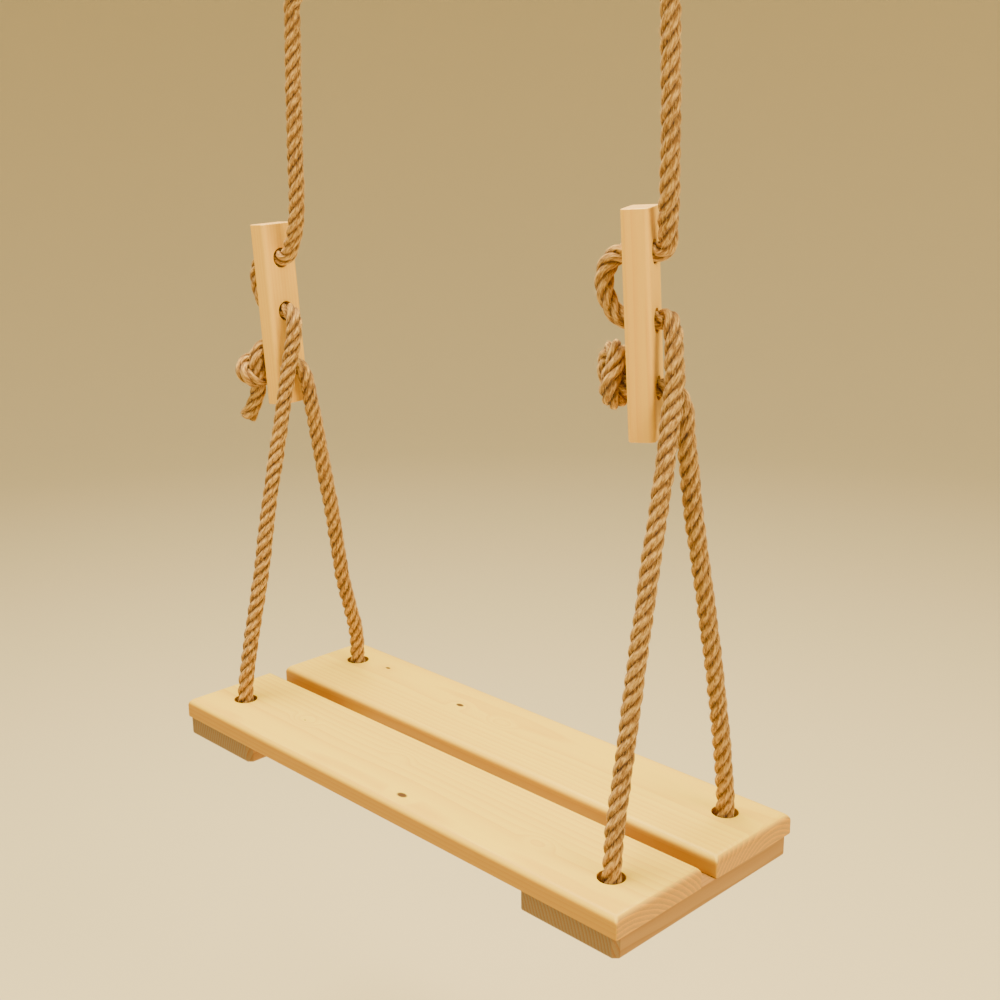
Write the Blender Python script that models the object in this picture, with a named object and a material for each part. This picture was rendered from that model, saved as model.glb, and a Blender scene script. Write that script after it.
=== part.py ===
"""Porch swing: a slatted pine seat hung on two natural-fibre ropes, each with a wooden length adjuster.

Metres, +Z up, X along the seat from left to right, Y from front to rear. The origin is half way between the
two ceiling brackets, in the plane Z = 0 that their plates are fastened to.
"""

import math

import bmesh
import bpy
from mathutils import Matrix, Vector

# The gap between the solids of pieces that touch in the real swing
GAP = 0.0003

# Seat: two planks on two battens
SEAT_LENGTH = 0.555
PLANK_WIDTH = 0.100
PLANK_THICKNESS = 0.018
PLANK_SPACING = 0.018
PLANK_TOP_RADIUS = 0.0065
PLANK_CORNER_RADIUS = 0.002
BATTEN_WIDTH = 0.100
BATTEN_THICKNESS = 0.018
BATTEN_INSET = 0.001
BATTEN_REAR_INSET = 0.0035
BATTEN_CORNER_CHAMFER = 0.0045
BATTEN_BOTTOM_RADIUS = 0.0035
SEAT_DROP = 0.775
SEAT_OFFSET = Vector((-0.0031, -0.006))

# Rope and the holes that it passes through
ROPE_DIAMETER = 0.015
SEAT_HOLE_DIAMETER = 0.022
HOLE_FROM_END = 0.0407
HOLE_FROM_FRONT = 0.0409
HOLE_FROM_REAR = 0.0357
ADJUSTER_HOLE_DIAMETER = 0.018
TURN_UNDER_SEAT = 0.012
STRAIGHT_OUT_OF_HOLE = 0.003

# Length adjusters
ADJUSTER_LENGTH = 0.170
ADJUSTER_WIDTH = 0.036
ADJUSTER_THICKNESS = 0.021
ADJUSTER_EDGE_RADIUS = 0.004
ADJUSTER_END_RADIUS = 0.0008
ADJUSTER_FIRST_HOLE = 0.032
ADJUSTER_HOLE_SPACING = 0.050
BACK_LOOP_DEPTH = 0.0175
BACK_LOOP_LIFT = 0.15
KNOT_RADIUS = 0.0185
KNOT_THICKNESS = 0.026

# Ceiling brackets and what hangs in them
PIVOT_SPACING = 0.4134
PIVOT_DROP = 0.040
PLATE_SIZE = Vector((0.092, 0.034, 0.005))
PLATE_CORNER_RADIUS = 0.005
LUG_THICKNESS = 0.004
LUG_WIDTH = 0.028
BOLT_DIAMETER = 0.008
BOLT_HEAD_ACROSS = 0.013
BOLT_HEAD_HEIGHT = 0.0055
NUT_HEIGHT = 0.0065
BOLT_PAST_NUT = 0.003
PLATE_SCREW_SPACING = 0.066
PLATE_SCREW_DIAMETER = 0.006
PLATE_SCREW_LENGTH = 0.040
PLATE_SCREW_POINT = 0.006
PLATE_SCREW_HEAD_ACROSS = 0.010
PLATE_SCREW_HEAD_HEIGHT = 0.004
THIMBLE_WIDTH = 0.019
THIMBLE_SIDE_PLAY = 0.0008
THIMBLE_RUNNING_GAP = 0.0003
THIMBLE_GROOVE_GAP = 0.0008
THIMBLE_RIM_PAST_EYE = 0.002
THIMBLE_RIM_BEVEL = Vector((0.002, 0.0006))
EYE_RADIUS = 0.021
EYE_WRAP_DEGREES = 230
SEIZING_TOP_BELOW_PIVOT = 0.046
SEIZING_LENGTH = 0.022
SEIZING_THICKNESS = 0.0022
EYE_TAIL = 0.006
EYE_NECK = 0.027
EYE_NECK_LEAN = 0.0045

# Seat screws, driven up through the battens
SCREW_LENGTH = 0.030
SCREW_DIAMETER = 0.004
SCREW_POINT = 0.006
SCREW_HEAD_DIAMETER = 0.0084
SCREW_HEAD_HEIGHT = 0.0026
SCREW_HEAD_EDGE = 0.0003
SCREW_SINK = 0.0004
SCREW_OFFSET = 0.028

# How finely round things are cut up, in sides or in steps of an arc
ROUND_SIDES = 24
SMALL_SIDES = 12
ARC_STEPS = 8
LOOP_STEPS = 6
QUARTER_STEPS = 3
ROPE_SIDES_STEP = 2
SHARP_ANGLE = math.radians(35)

# How far a cutter reaches past the face that it opens, and what counts as the same place
PAST_FACE = 0.001
SAME_PLACE = 1e-6

ROPE_RADIUS = ROPE_DIAMETER / 2
SEAT_TOP = -SEAT_DROP
PLANK_BOTTOM = SEAT_TOP - PLANK_THICKNESS
BATTEN_TOP = PLANK_BOTTOM - GAP
BATTEN_BOTTOM = BATTEN_TOP - BATTEN_THICKNESS
SEAT_DEPTH = 2 * PLANK_WIDTH + PLANK_SPACING
SEAT_FRONT = SEAT_OFFSET.y - SEAT_DEPTH / 2
PIVOT_Z = -PIVOT_DROP
ADJUSTER_HOLES = [ADJUSTER_FIRST_HOLE + n * ADJUSTER_HOLE_SPACING for n in range(3)]
LUG_INSIDE = THIMBLE_WIDTH / 2 + THIMBLE_SIDE_PLAY
LUG_OUTSIDE = LUG_INSIDE + LUG_THICKNESS

# Each side: which way it lies, where its adjuster hangs and how that is turned, and the rope's free points
# between the holes that it passes through, from the ceiling down and back up. The adjusters hang a little
# askew, as their ropes pull them.
SIDES = {
    "left": {
        "sign": -1,
        "adjuster": Vector((-0.2545, 0.0010, -0.4062)),
        "turns": (3.0, -2.8, 1.5),
        "upper": [(-0.2120, 0.0, -0.152), (-0.2150, 0.0, -0.215), (-0.2183, 0.0002, -0.290),
                  (-0.2222, 0.0004, -0.320), (-0.2285, 0.0008, -0.3355), (-0.2352, 0.0012, -0.3482)],
        "front": [(-0.2345, 0.0006, -0.4034), (-0.2288, -0.0015, -0.4105), (-0.2276, -0.0045, -0.427),
                  (-0.2294, -0.0112, -0.456), (-0.2310, -0.0163, -0.4845), (-0.2322, -0.0380, -0.5786),
                  (-0.2345, -0.0585, -0.680), (-0.2385, -0.0712, -0.745)],
        "rear": [(-0.2388, 0.0650, -0.745), (-0.2330, 0.0468, -0.680), (-0.2302, 0.0321, -0.592),
                 (-0.2296, 0.0148, -0.495), (-0.2290, 0.0104, -0.472), (-0.2320, 0.0076, -0.4590)],
        "tail": [(0, -0.006, -0.0195), (-0.004, -0.0090, -0.038), (-0.009, -0.0125, -0.056)],
    },
    "right": {
        "sign": 1,
        "adjuster": Vector((0.1896, 0.0052, -0.3729)),
        "turns": (25.9, -1.9, 2.2),
        "upper": [(0.2121, 0.0, -0.152), (0.2146, 0.0002, -0.207), (0.2150, 0.0010, -0.262),
                  (0.2128, 0.0035, -0.287), (0.2096, 0.0065, -0.3010), (0.2062, 0.0104, -0.3150)],
        "front": [(0.2070, 0.0122, -0.3675), (0.2132, 0.0100, -0.3745), (0.2176, 0.0068, -0.3905),
                  (0.2212, 0.0030, -0.4180), (0.2240, -0.0050, -0.4460), (0.2262, -0.0128, -0.4735),
                  (0.2292, -0.0382, -0.590), (0.2305, -0.0580, -0.690), (0.2328, -0.0705, -0.745)],
        "rear": [(0.2330, 0.0655, -0.745), (0.2310, 0.0495, -0.645), (0.2246, 0.0288, -0.526),
                 (0.2222, 0.0180, -0.4560), (0.2196, 0.0188, -0.4360), (0.2140, 0.0172, -0.4245)],
        "tail": [(0.002, 0.004, -0.0195), (0.003, 0.006, -0.036), (0.004, 0.008, -0.050)],
    },
}


def clear_scene():
    """Removes whatever objects the file holds."""
    for old in list(bpy.data.objects):
        bpy.data.objects.remove(old)


def material(name, colour, roughness, metallic=0.0):
    """A plain Principled material."""
    made = bpy.data.materials.new(name)
    made.use_nodes = True
    shader = made.node_tree.nodes["Principled BSDF"]
    shader.inputs["Base Color"].default_value = (*colour, 1.0)
    shader.inputs["Roughness"].default_value = roughness
    shader.inputs["Metallic"].default_value = metallic
    made.diffuse_color = (*colour, 1.0)
    return made


def add_object(name, data, finish):
    """Links a new object of that mesh or curve, with its own material."""
    made = bpy.data.objects.new(name, data)
    bpy.context.scene.collection.objects.link(made)
    data.materials.append(material(name + "_finish", *finish))
    return made


def add_mesh(name, shape, finish, smooth=False):
    """Turns a finished bmesh into an object and frees it."""
    bmesh.ops.recalc_face_normals(shape, faces=shape.faces)
    mesh = bpy.data.meshes.new(name)
    shape.to_mesh(mesh)
    shape.free()
    if smooth:
        mesh.shade_smooth()
        mesh.set_sharp_from_angle(angle=SHARP_ANGLE)
    return add_object(name, mesh, finish)


def cutter(name, shape):
    """An object that only cuts: it is drawn as wire and left out of the model."""
    made = add_mesh(name, shape, PLAIN)
    made.hide_render = True
    made.display_type = "WIRE"
    return made


def carve(target, tool, operation="DIFFERENCE"):
    """Cuts the tool out of the target, or joins it on."""
    modifier = target.modifiers.new(tool.name, "BOOLEAN")
    modifier.operation = operation
    modifier.solver = "EXACT"
    modifier.object = tool


def box(size, centre):
    """A box as a bmesh."""
    shape = bmesh.new()
    bmesh.ops.create_cube(shape, size=1.0)
    bmesh.ops.scale(shape, vec=size, verts=shape.verts)
    bmesh.ops.translate(shape, vec=centre, verts=shape.verts)
    return shape


def round_edges(shape, chosen, radius, segments):
    """Rounds the edges that the test picks, or chamfers them with one segment."""
    edges = [edge for edge in shape.edges if chosen(edge)]
    bmesh.ops.bevel(
        shape, geom=edges, offset=radius, segments=segments, profile=0.5, affect="EDGES", material=-1
    )


def along(edge, axis):
    """Whether an edge runs along that world axis."""
    direction = (edge.verts[0].co - edge.verts[1].co).normalized()
    return abs(direction[axis]) > 0.99


def at_height(edge, height):
    """Whether an edge lies in that level plane."""
    return all(abs(corner.co.z - height) < SAME_PLACE for corner in edge.verts)


def add_rod(shape, start, end, start_radius, end_radius=None, sides=ROUND_SIDES):
    """Adds a closed rod or cone between two points to a bmesh."""
    start, end = Vector(start), Vector(end)
    turn = Vector((0, 0, 1)).rotation_difference(end - start).to_matrix().to_4x4()
    bmesh.ops.create_cone(
        shape,
        cap_ends=True,
        segments=sides,
        radius1=start_radius,
        radius2=start_radius if end_radius is None else end_radius,
        depth=(end - start).length,
        matrix=Matrix.Translation((start + end) / 2) @ turn,
    )


def turned(profile, sides):
    """A closed solid turned about Z from (radius, height) points. It is a ring where its profile starts off the
    axis."""
    shape = bmesh.new()
    corners = [shape.verts.new((radius, 0, height)) for radius, height in profile]
    ring = profile[0][0] > 0
    for first, second in zip(corners, corners[1:] + corners[:1] if ring else corners[1:]):
        shape.edges.new((first, second))
    bmesh.ops.spin(
        shape,
        geom=shape.verts[:] + shape.edges[:],
        axis=(0, 0, 1),
        cent=(0, 0, 0),
        angle=math.tau,
        steps=sides,
        use_merge=True,
    )
    bmesh.ops.remove_doubles(shape, verts=shape.verts, dist=SAME_PLACE)
    return shape


def smooth_route(points, per_span=2):
    """Points read from a smooth curve through the route's own points, per_span of them for each span. A short
    span stays straight, so that the rope's ends are square to the holes that they meet."""
    points = [Vector(point) for point in points]
    before = points[0] * 2 - points[1]
    after = points[-1] * 2 - points[-2]
    ends = [before, *points, after]
    line = []
    for a, b, c, d in zip(ends, ends[1:], ends[2:], ends[3:]):
        steps = [0.0]
        for first, second in ((a, b), (b, c), (c, d)):
            steps.append(steps[-1] + math.sqrt((second - first).length))
        count = per_span if (c - b).length > ROPE_RADIUS else 1
        for n in range(count):
            t = steps[1] + (steps[2] - steps[1]) * n / count
            ab = a.lerp(b, (t - steps[0]) / (steps[1] - steps[0]))
            bc = b.lerp(c, (t - steps[1]) / (steps[2] - steps[1]))
            cd = c.lerp(d, (t - steps[2]) / (steps[3] - steps[2]))
            left = ab.lerp(bc, (t - steps[0]) / (steps[2] - steps[0]))
            right = bc.lerp(cd, (t - steps[1]) / (steps[3] - steps[1]))
            line.append(left.lerp(right, (t - steps[1]) / (steps[2] - steps[1])))
    return [*line, points[-1]]


def rope(name, line):
    """A stretch of rope as a plain tube along those points."""
    curve = bpy.data.curves.new(name, "CURVE")
    curve.dimensions = "3D"
    curve.bevel_depth = ROPE_RADIUS
    curve.bevel_resolution = ROPE_SIDES_STEP
    curve.use_fill_caps = True
    spline = curve.splines.new("POLY")
    spline.points.add(len(line) - 1)
    for target, point in zip(spline.points, line):
        target.co = (*point, 1.0)
    spline.use_smooth = True
    return add_object(name, curve, JUTE)


def joint_empty(name, place, parent=None):
    """An empty on a joint's axis, which carries what that joint moves."""
    made = bpy.data.objects.new(name, None)
    made.location = place
    bpy.context.scene.collection.objects.link(made)
    if parent:
        hang_on(made, parent)
    return made


def hang_on(piece, parent):
    """Parents a piece and leaves it where it is."""
    bpy.context.view_layer.update()
    piece.parent = parent
    piece.matrix_parent_inverse = parent.matrix_world.inverted()


# Finishes: colour, roughness and metallic value
PLAIN = ((0.5, 0.5, 0.5), 0.5)
PINE = ((0.78, 0.56, 0.29), 0.55)
PINE_DARK = ((0.66, 0.40, 0.17), 0.6)
JUTE = ((0.50, 0.31, 0.12), 0.95)
TWINE = ((0.42, 0.26, 0.11), 0.95)
ZINC = ((0.62, 0.63, 0.64), 0.38, 1.0)


def seat_hole(side, row):
    """The middle of a rope hole in the seat, on the planks' top."""
    from_middle = SEAT_LENGTH / 2 - HOLE_FROM_END
    x = SEAT_OFFSET.x + SIDES[side]["sign"] * from_middle
    y = SEAT_FRONT + (HOLE_FROM_FRONT if row == "front" else SEAT_DEPTH - HOLE_FROM_REAR)
    return Vector((x, y, SEAT_TOP))


def batten_middle(side):
    """Where the middle of a batten's width lies along X."""
    from_middle = SEAT_LENGTH / 2 - BATTEN_INSET - BATTEN_WIDTH / 2
    return SEAT_OFFSET.x + SIDES[side]["sign"] * from_middle


def plank_middle(row):
    """Where the middle of a plank's width lies along Y."""
    from_front = PLANK_WIDTH / 2 if row == "front" else SEAT_DEPTH - PLANK_WIDTH / 2
    return SEAT_FRONT + from_front


def screw_places(side, row):
    """The two screws where a plank crosses a batten, on the diagonal that the rope hole leaves free."""
    x, y = batten_middle(side), plank_middle(row)
    lean = SIDES[side]["sign"] * (1 if row == "front" else -1)
    for way in (-1, 1):
        yield x - way * SCREW_OFFSET, y - way * lean * SCREW_OFFSET


def build_plank(row):
    """A seat plank with a rounded top edge, its rope holes and the blind pilot holes of its screws."""
    size = (SEAT_LENGTH, PLANK_WIDTH, PLANK_THICKNESS)
    shape = box(size, (SEAT_OFFSET.x, plank_middle(row), SEAT_TOP - PLANK_THICKNESS / 2))
    round_edges(shape, lambda edge: along(edge, 2), PLANK_CORNER_RADIUS, 2)
    round_edges(shape, lambda edge: at_height(edge, SEAT_TOP), PLANK_TOP_RADIUS, 4)
    plank = add_mesh(row + "_plank", shape, PINE, smooth=True)
    holes = bmesh.new()
    for side in SIDES:
        top = seat_hole(side, row) + Vector((0, 0, PLANK_THICKNESS))
        add_rod(holes, top, top - Vector((0, 0, 3 * PLANK_THICKNESS)), SEAT_HOLE_DIAMETER / 2)
        for x, y in screw_places(side, row):
            mouth = Vector((x, y, PLANK_BOTTOM - PLANK_THICKNESS))
            tip = Vector((x, y, screw_bottom() + SCREW_LENGTH + GAP))
            add_rod(holes, mouth, tip, SCREW_DIAMETER / 2 + GAP, sides=SMALL_SIDES)
    carve(plank, cutter(row + "_plank_holes", holes))
    return plank


def screw_bottom():
    """The height of the seat screws' flat heads."""
    return BATTEN_BOTTOM + SCREW_SINK


def build_batten(side):
    """A cross batten with chamfered corners, a rounded lower edge, rope holes and countersunk screw holes."""
    length = SEAT_DEPTH - BATTEN_INSET - BATTEN_REAR_INSET
    middle_y = SEAT_FRONT + BATTEN_INSET + length / 2
    middle = (batten_middle(side), middle_y, BATTEN_TOP - BATTEN_THICKNESS / 2)
    shape = box((BATTEN_WIDTH, length, BATTEN_THICKNESS), middle)
    round_edges(shape, lambda edge: along(edge, 2), BATTEN_CORNER_CHAMFER, 1)
    round_edges(shape, lambda edge: at_height(edge, BATTEN_BOTTOM), BATTEN_BOTTOM_RADIUS, 3)
    batten = add_mesh(side + "_batten", shape, PINE_DARK, smooth=True)
    holes = bmesh.new()
    sinks = bmesh.new()
    for row in ("front", "rear"):
        top = seat_hole(side, row)
        add_rod(holes, top, top - Vector((0, 0, 4 * BATTEN_THICKNESS)), SEAT_HOLE_DIAMETER / 2)
        for x, y in screw_places(side, row):
            start = Vector((x, y, BATTEN_BOTTOM - BATTEN_THICKNESS))
            end = Vector((x, y, BATTEN_TOP + BATTEN_THICKNESS))
            add_rod(holes, start, end, SCREW_DIAMETER / 2 + GAP, sides=SMALL_SIDES)
            rim = Vector((x, y, screw_bottom()))
            root = rim + Vector((0, 0, SCREW_HEAD_HEIGHT + GAP))
            below = rim - Vector((0, 0, SCREW_SINK + PAST_FACE))
            head = SCREW_HEAD_DIAMETER / 2 + GAP
            slope = (head - SCREW_DIAMETER / 2 - GAP) / (SCREW_HEAD_HEIGHT + GAP)
            wide = head + slope * (rim - below).length
            add_rod(sinks, below, root, wide, SCREW_DIAMETER / 2 + GAP, sides=SMALL_SIDES)
    carve(batten, cutter(side + "_batten_holes", holes))
    carve(batten, cutter(side + "_batten_sinks", sinks))
    return batten


def build_seat_screw(name, x, y):
    """A countersunk wood screw, head down."""
    shank, head = SCREW_DIAMETER / 2, SCREW_HEAD_DIAMETER / 2
    profile = [
        (0, SCREW_LENGTH),
        (shank, SCREW_LENGTH - SCREW_POINT),
        (shank, SCREW_HEAD_HEIGHT),
        (head, SCREW_HEAD_EDGE),
        (head, 0),
        (0, 0),
    ]
    screw = add_mesh(name, turned(profile, SMALL_SIDES), ZINC, smooth=True)
    screw.location = (x, y, screw_bottom())
    return screw


def adjuster_turn(side):
    """How an adjuster is turned: its hole faces look along its own X, its length is its own Z."""
    yaw, lean, pitch = (math.radians(angle) for angle in SIDES[side]["turns"])
    return Matrix.Rotation(lean, 3, "Y") @ Matrix.Rotation(pitch, 3, "X") @ Matrix.Rotation(yaw, 3, "Z")


def adjuster_hole(side, number, out):
    """A point on the axis of an adjuster's hole, that far out from the block's middle plane."""
    height = ADJUSTER_LENGTH / 2 - ADJUSTER_HOLES[number]
    return SIDES[side]["adjuster"] + adjuster_turn(side) @ Vector((out, 0, height))


def build_adjuster(side):
    """A length adjuster: a flat stick with three holes in a row through its wide faces."""
    size = (ADJUSTER_THICKNESS, ADJUSTER_WIDTH, ADJUSTER_LENGTH)
    shape = box(size, (0, 0, 0))
    round_edges(shape, lambda edge: along(edge, 2), ADJUSTER_EDGE_RADIUS, 4)
    ends = [-ADJUSTER_LENGTH / 2, ADJUSTER_LENGTH / 2]
    round_edges(shape, lambda edge: any(at_height(edge, z) for z in ends), ADJUSTER_END_RADIUS, 1)
    block = add_mesh(side + "_adjuster", shape, PINE, smooth=True)
    holes = bmesh.new()
    for from_top in ADJUSTER_HOLES:
        height = ADJUSTER_LENGTH / 2 - from_top
        reach = ADJUSTER_THICKNESS
        add_rod(holes, (-reach, 0, height), (reach, 0, height), ADJUSTER_HOLE_DIAMETER / 2)
    tool = cutter(side + "_adjuster_holes", holes)
    carve(block, tool)
    for made in (block, tool):
        made.location = SIDES[side]["adjuster"]
        made.rotation_euler = adjuster_turn(side).to_euler()
    return block


def build_stopper_knot(side):
    """The knot that holds the rope behind the lowest hole, with the rope that fills that hole."""
    face = ADJUSTER_THICKNESS / 2
    back = face + GAP
    far = back + KNOT_THICKNESS
    edge = KNOT_THICKNESS / 2
    profile = [(0, -far), (KNOT_RADIUS - edge, -far)]
    for n in range(1, ARC_STEPS):
        angle = math.pi * n / ARC_STEPS - math.pi / 2
        profile.append((KNOT_RADIUS - edge * (1 - math.cos(angle)), -back - edge + edge * math.sin(angle)))
    profile += [(ROPE_RADIUS, -back), (ROPE_RADIUS, face), (0, face)]
    knot = add_mesh(side + "_stopper_knot", turned(profile, SMALL_SIDES), JUTE, smooth=True)
    upright = Vector((0, 0, 1)).rotation_difference(Vector((1, 0, 0))).to_matrix()
    knot.location = adjuster_hole(side, 2, 0)
    knot.rotation_euler = (adjuster_turn(side) @ upright).to_euler()
    return knot


def knot_middle(side):
    """The middle of a stopper knot."""
    return adjuster_hole(side, 2, -ADJUSTER_THICKNESS / 2 - GAP - KNOT_THICKNESS / 2)


def eye_route(side):
    """The rope's eye: up one side of the pivot, round the thimble and down to its bound end."""
    sign = SIDES[side]["sign"]
    x = sign * PIVOT_SPACING / 2
    neck_x = x + sign * EYE_NECK_LEAN
    leg = ROPE_RADIUS + GAP
    seizing_top = PIVOT_Z - SEIZING_TOP_BELOW_PIVOT
    seizing_bottom = seizing_top - SEIZING_LENGTH
    join = seizing_bottom - EYE_NECK
    route = [(neck_x, 0, join), (neck_x, 0, join + STRAIGHT_OUT_OF_HOLE)]
    route += [((x + neck_x) / 2, leg / 2, (seizing_bottom + join) / 2), (x, leg, seizing_bottom)]
    route.append((x, leg, seizing_top))
    for n in range(ARC_STEPS + 1):
        angle = math.radians(90 - EYE_WRAP_DEGREES / 2 + EYE_WRAP_DEGREES * n / ARC_STEPS)
        y = EYE_RADIUS * math.cos(angle)
        route.append((x, y, PIVOT_Z + EYE_RADIUS * math.sin(angle)))
    route += [(x, -leg, seizing_top), (x, -leg, seizing_bottom), (x, -leg, seizing_bottom - EYE_TAIL)]
    return route


def turn_under_seat(hole, way):
    """The rope's quarter turn below a seat hole, into its level run under the seat that way along Y."""
    low = BATTEN_BOTTOM - GAP - ROPE_RADIUS
    turn = []
    for n in range(QUARTER_STEPS + 1):
        angle = math.pi / 2 * n / QUARTER_STEPS
        y = hole.y + way * TURN_UNDER_SEAT * (1 - math.cos(angle))
        turn.append(Vector((hole.x, y, low + TURN_UNDER_SEAT * (1 - math.sin(angle)))))
    return turn


def build_ropes(side):
    """All the rope of one side, in its stretches, and the twine that binds the eye."""
    facts = SIDES[side]
    face = ADJUSTER_THICKNESS / 2 + GAP
    lead = face + STRAIGHT_OUT_OF_HOLE
    eye = eye_route(side)
    pieces = {"eye": rope(side + "_eye_rope", smooth_route(eye))}
    upper = [Vector(eye[0]) - Vector((0, 0, height)) for height in (GAP, STRAIGHT_OUT_OF_HOLE)]
    upper += [*facts["upper"], adjuster_hole(side, 0, lead), adjuster_hole(side, 0, face)]
    pieces["upper"] = rope(side + "_upper_rope", smooth_route(upper))

    out = face - 2 * GAP
    loop = [adjuster_hole(side, 0, out), adjuster_hole(side, 0, -out)]
    top, bottom = (adjuster_hole(side, n, -out) for n in (0, 1))
    backwards = adjuster_turn(side) @ Vector((-1, 0, 0))
    for n in range(1, LOOP_STEPS):
        angle = math.pi * n / LOOP_STEPS
        centre = bottom.lerp(top, (1 + math.cos(angle)) / 2)
        depth = BACK_LOOP_DEPTH * math.sin(angle) * (1 + BACK_LOOP_LIFT * math.cos(angle))
        loop.append(centre + backwards * depth)
    loop += [adjuster_hole(side, 1, -out), adjuster_hole(side, 1, out)]
    pieces["loop"] = rope(side + "_back_loop", smooth_route(loop))

    above = [Vector((0, 0, height)) for height in (GAP, STRAIGHT_OUT_OF_HOLE)]
    front = [adjuster_hole(side, 1, face), adjuster_hole(side, 1, lead), *facts["front"]]
    front += [seat_hole(side, "front") + height for height in reversed(above)]
    pieces["front"] = rope(side + "_front_strand", smooth_route(front))
    rear = [seat_hole(side, "rear") + height for height in above]
    rear += [*facts["rear"], adjuster_hole(side, 2, lead), adjuster_hole(side, 2, face)]
    pieces["rear"] = rope(side + "_rear_strand", smooth_route(rear))

    near, far = seat_hole(side, "front"), seat_hole(side, "rear")
    under = [near, *turn_under_seat(near, 1), *reversed(turn_under_seat(far, -1)), far]
    pieces["under"] = rope(side + "_under_seat_rope", smooth_route(under))

    middle = knot_middle(side)
    tail = [middle + Vector(point) for point in facts["tail"]]
    pieces["tail"] = rope(side + "_knot_tail", smooth_route(tail))
    return pieces


def stadium(half_length, radius, bottom, top):
    """An upright column whose outline is two half circles joined by straight sides, long in Y."""
    shape = bmesh.new()
    outline = []
    for middle, first in ((half_length, 0), (-half_length, math.pi)):
        for n in range(SMALL_SIDES // 2 + 1):
            angle = first + math.pi * n / (SMALL_SIDES // 2)
            place = (radius * math.cos(angle), middle + radius * math.sin(angle), bottom)
            outline.append(shape.verts.new(place))
    base = shape.faces.new(outline)
    risen = bmesh.ops.extrude_face_region(shape, geom=[base])["geom"]
    corners = [part for part in risen if isinstance(part, bmesh.types.BMVert)]
    bmesh.ops.translate(shape, vec=(0, 0, top - bottom), verts=corners)
    return shape


def build_seizing(side):
    """The twine bound round both legs of the eye, as a flat band."""
    top = PIVOT_Z - SEIZING_TOP_BELOW_PIVOT
    bottom = top - SEIZING_LENGTH
    leg = ROPE_RADIUS + GAP
    inside = ROPE_RADIUS + GAP
    band = stadium(leg, inside + SEIZING_THICKNESS, bottom, top)
    seizing = add_mesh(side + "_eye_seizing", band, TWINE, smooth=True)
    hollow = cutter(side + "_seizing_hollow", stadium(leg, inside, bottom - PAST_FACE, top + PAST_FACE))
    carve(seizing, hollow)
    for made in (seizing, hollow):
        made.location.x = SIDES[side]["sign"] * PIVOT_SPACING / 2
    return seizing


def build_thimble(side):
    """A solid steel thimble: a grooved wheel that the eye lies in and the pivot bolt passes through."""
    half = THIMBLE_WIDTH / 2
    bore = BOLT_DIAMETER / 2 + THIMBLE_RUNNING_GAP
    groove = ROPE_RADIUS + THIMBLE_GROOVE_GAP
    rim = EYE_RADIUS + THIMBLE_RIM_PAST_EYE
    flat, edge = rim - THIMBLE_RIM_BEVEL.x, half - THIMBLE_RIM_BEVEL.y
    profile = [(bore, half), (flat, half), (rim, edge)]
    reach = math.acos(-THIMBLE_RIM_PAST_EYE / groove)
    for n in range(ARC_STEPS + 1):
        angle = reach - 2 * reach * n / ARC_STEPS
        profile.append((EYE_RADIUS - groove * math.cos(angle), groove * math.sin(angle)))
    profile += [(rim, -edge), (flat, -half), (bore, -half)]
    thimble = add_mesh(side + "_thimble", turned(profile, ROUND_SIDES), ZINC, smooth=True)
    thimble.rotation_euler = (0, math.pi / 2, 0)
    thimble.location = (SIDES[side]["sign"] * PIVOT_SPACING / 2, 0, PIVOT_Z)
    return thimble


def build_bracket(side):
    """A ceiling bracket: a plate with two lugs for the pivot bolt and two holes for the plate screws."""
    x = SIDES[side]["sign"] * PIVOT_SPACING / 2
    plate = box(PLATE_SIZE, (x, 0, -PLATE_SIZE.z / 2))
    round_edges(plate, lambda edge: along(edge, 2), PLATE_CORNER_RADIUS, 3)
    bracket = add_mesh(side + "_ceiling_bracket", plate, ZINC, smooth=True)
    for way, word in ((-1, "outer"), (1, "inner")):
        lug = bmesh.new()
        middle = x + way * (LUG_INSIDE + LUG_OUTSIDE) / 2
        outline = [(LUG_WIDTH / 2, -PLATE_SIZE.z / 2)]
        for n in range(SMALL_SIDES + 1):
            angle = -math.pi * n / SMALL_SIDES
            outline.append((LUG_WIDTH / 2 * math.cos(angle), PIVOT_Z + LUG_WIDTH / 2 * math.sin(angle)))
        outline.append((-LUG_WIDTH / 2, -PLATE_SIZE.z / 2))
        start = middle - LUG_THICKNESS / 2
        face = lug.faces.new([lug.verts.new((start, y, z)) for y, z in outline])
        moved = bmesh.ops.extrude_face_region(lug, geom=[face])["geom"]
        corners = [part for part in moved if isinstance(part, bmesh.types.BMVert)]
        bmesh.ops.translate(lug, vec=(LUG_THICKNESS, 0, 0), verts=corners)
        carve(bracket, cutter(f"{side}_{word}_lug", lug), "UNION")
    holes = bmesh.new()
    reach = LUG_OUTSIDE + LUG_THICKNESS
    bolt_hole = BOLT_DIAMETER / 2 + GAP
    add_rod(holes, (x - reach, 0, PIVOT_Z), (x + reach, 0, PIVOT_Z), bolt_hole)
    for way in (-1, 1):
        place = x + way * PLATE_SCREW_SPACING / 2
        top, bottom = PLATE_SIZE.z, -2 * PLATE_SIZE.z
        screw_hole = PLATE_SCREW_DIAMETER / 2 + GAP
        add_rod(holes, (place, 0, top), (place, 0, bottom), screw_hole, sides=SMALL_SIDES)
    carve(bracket, cutter(side + "_bracket_holes", holes))
    return bracket


def hexagon_radius(across):
    """The corner radius of a hexagon that measures so much across its flats."""
    return across / math.sqrt(3)


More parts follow.
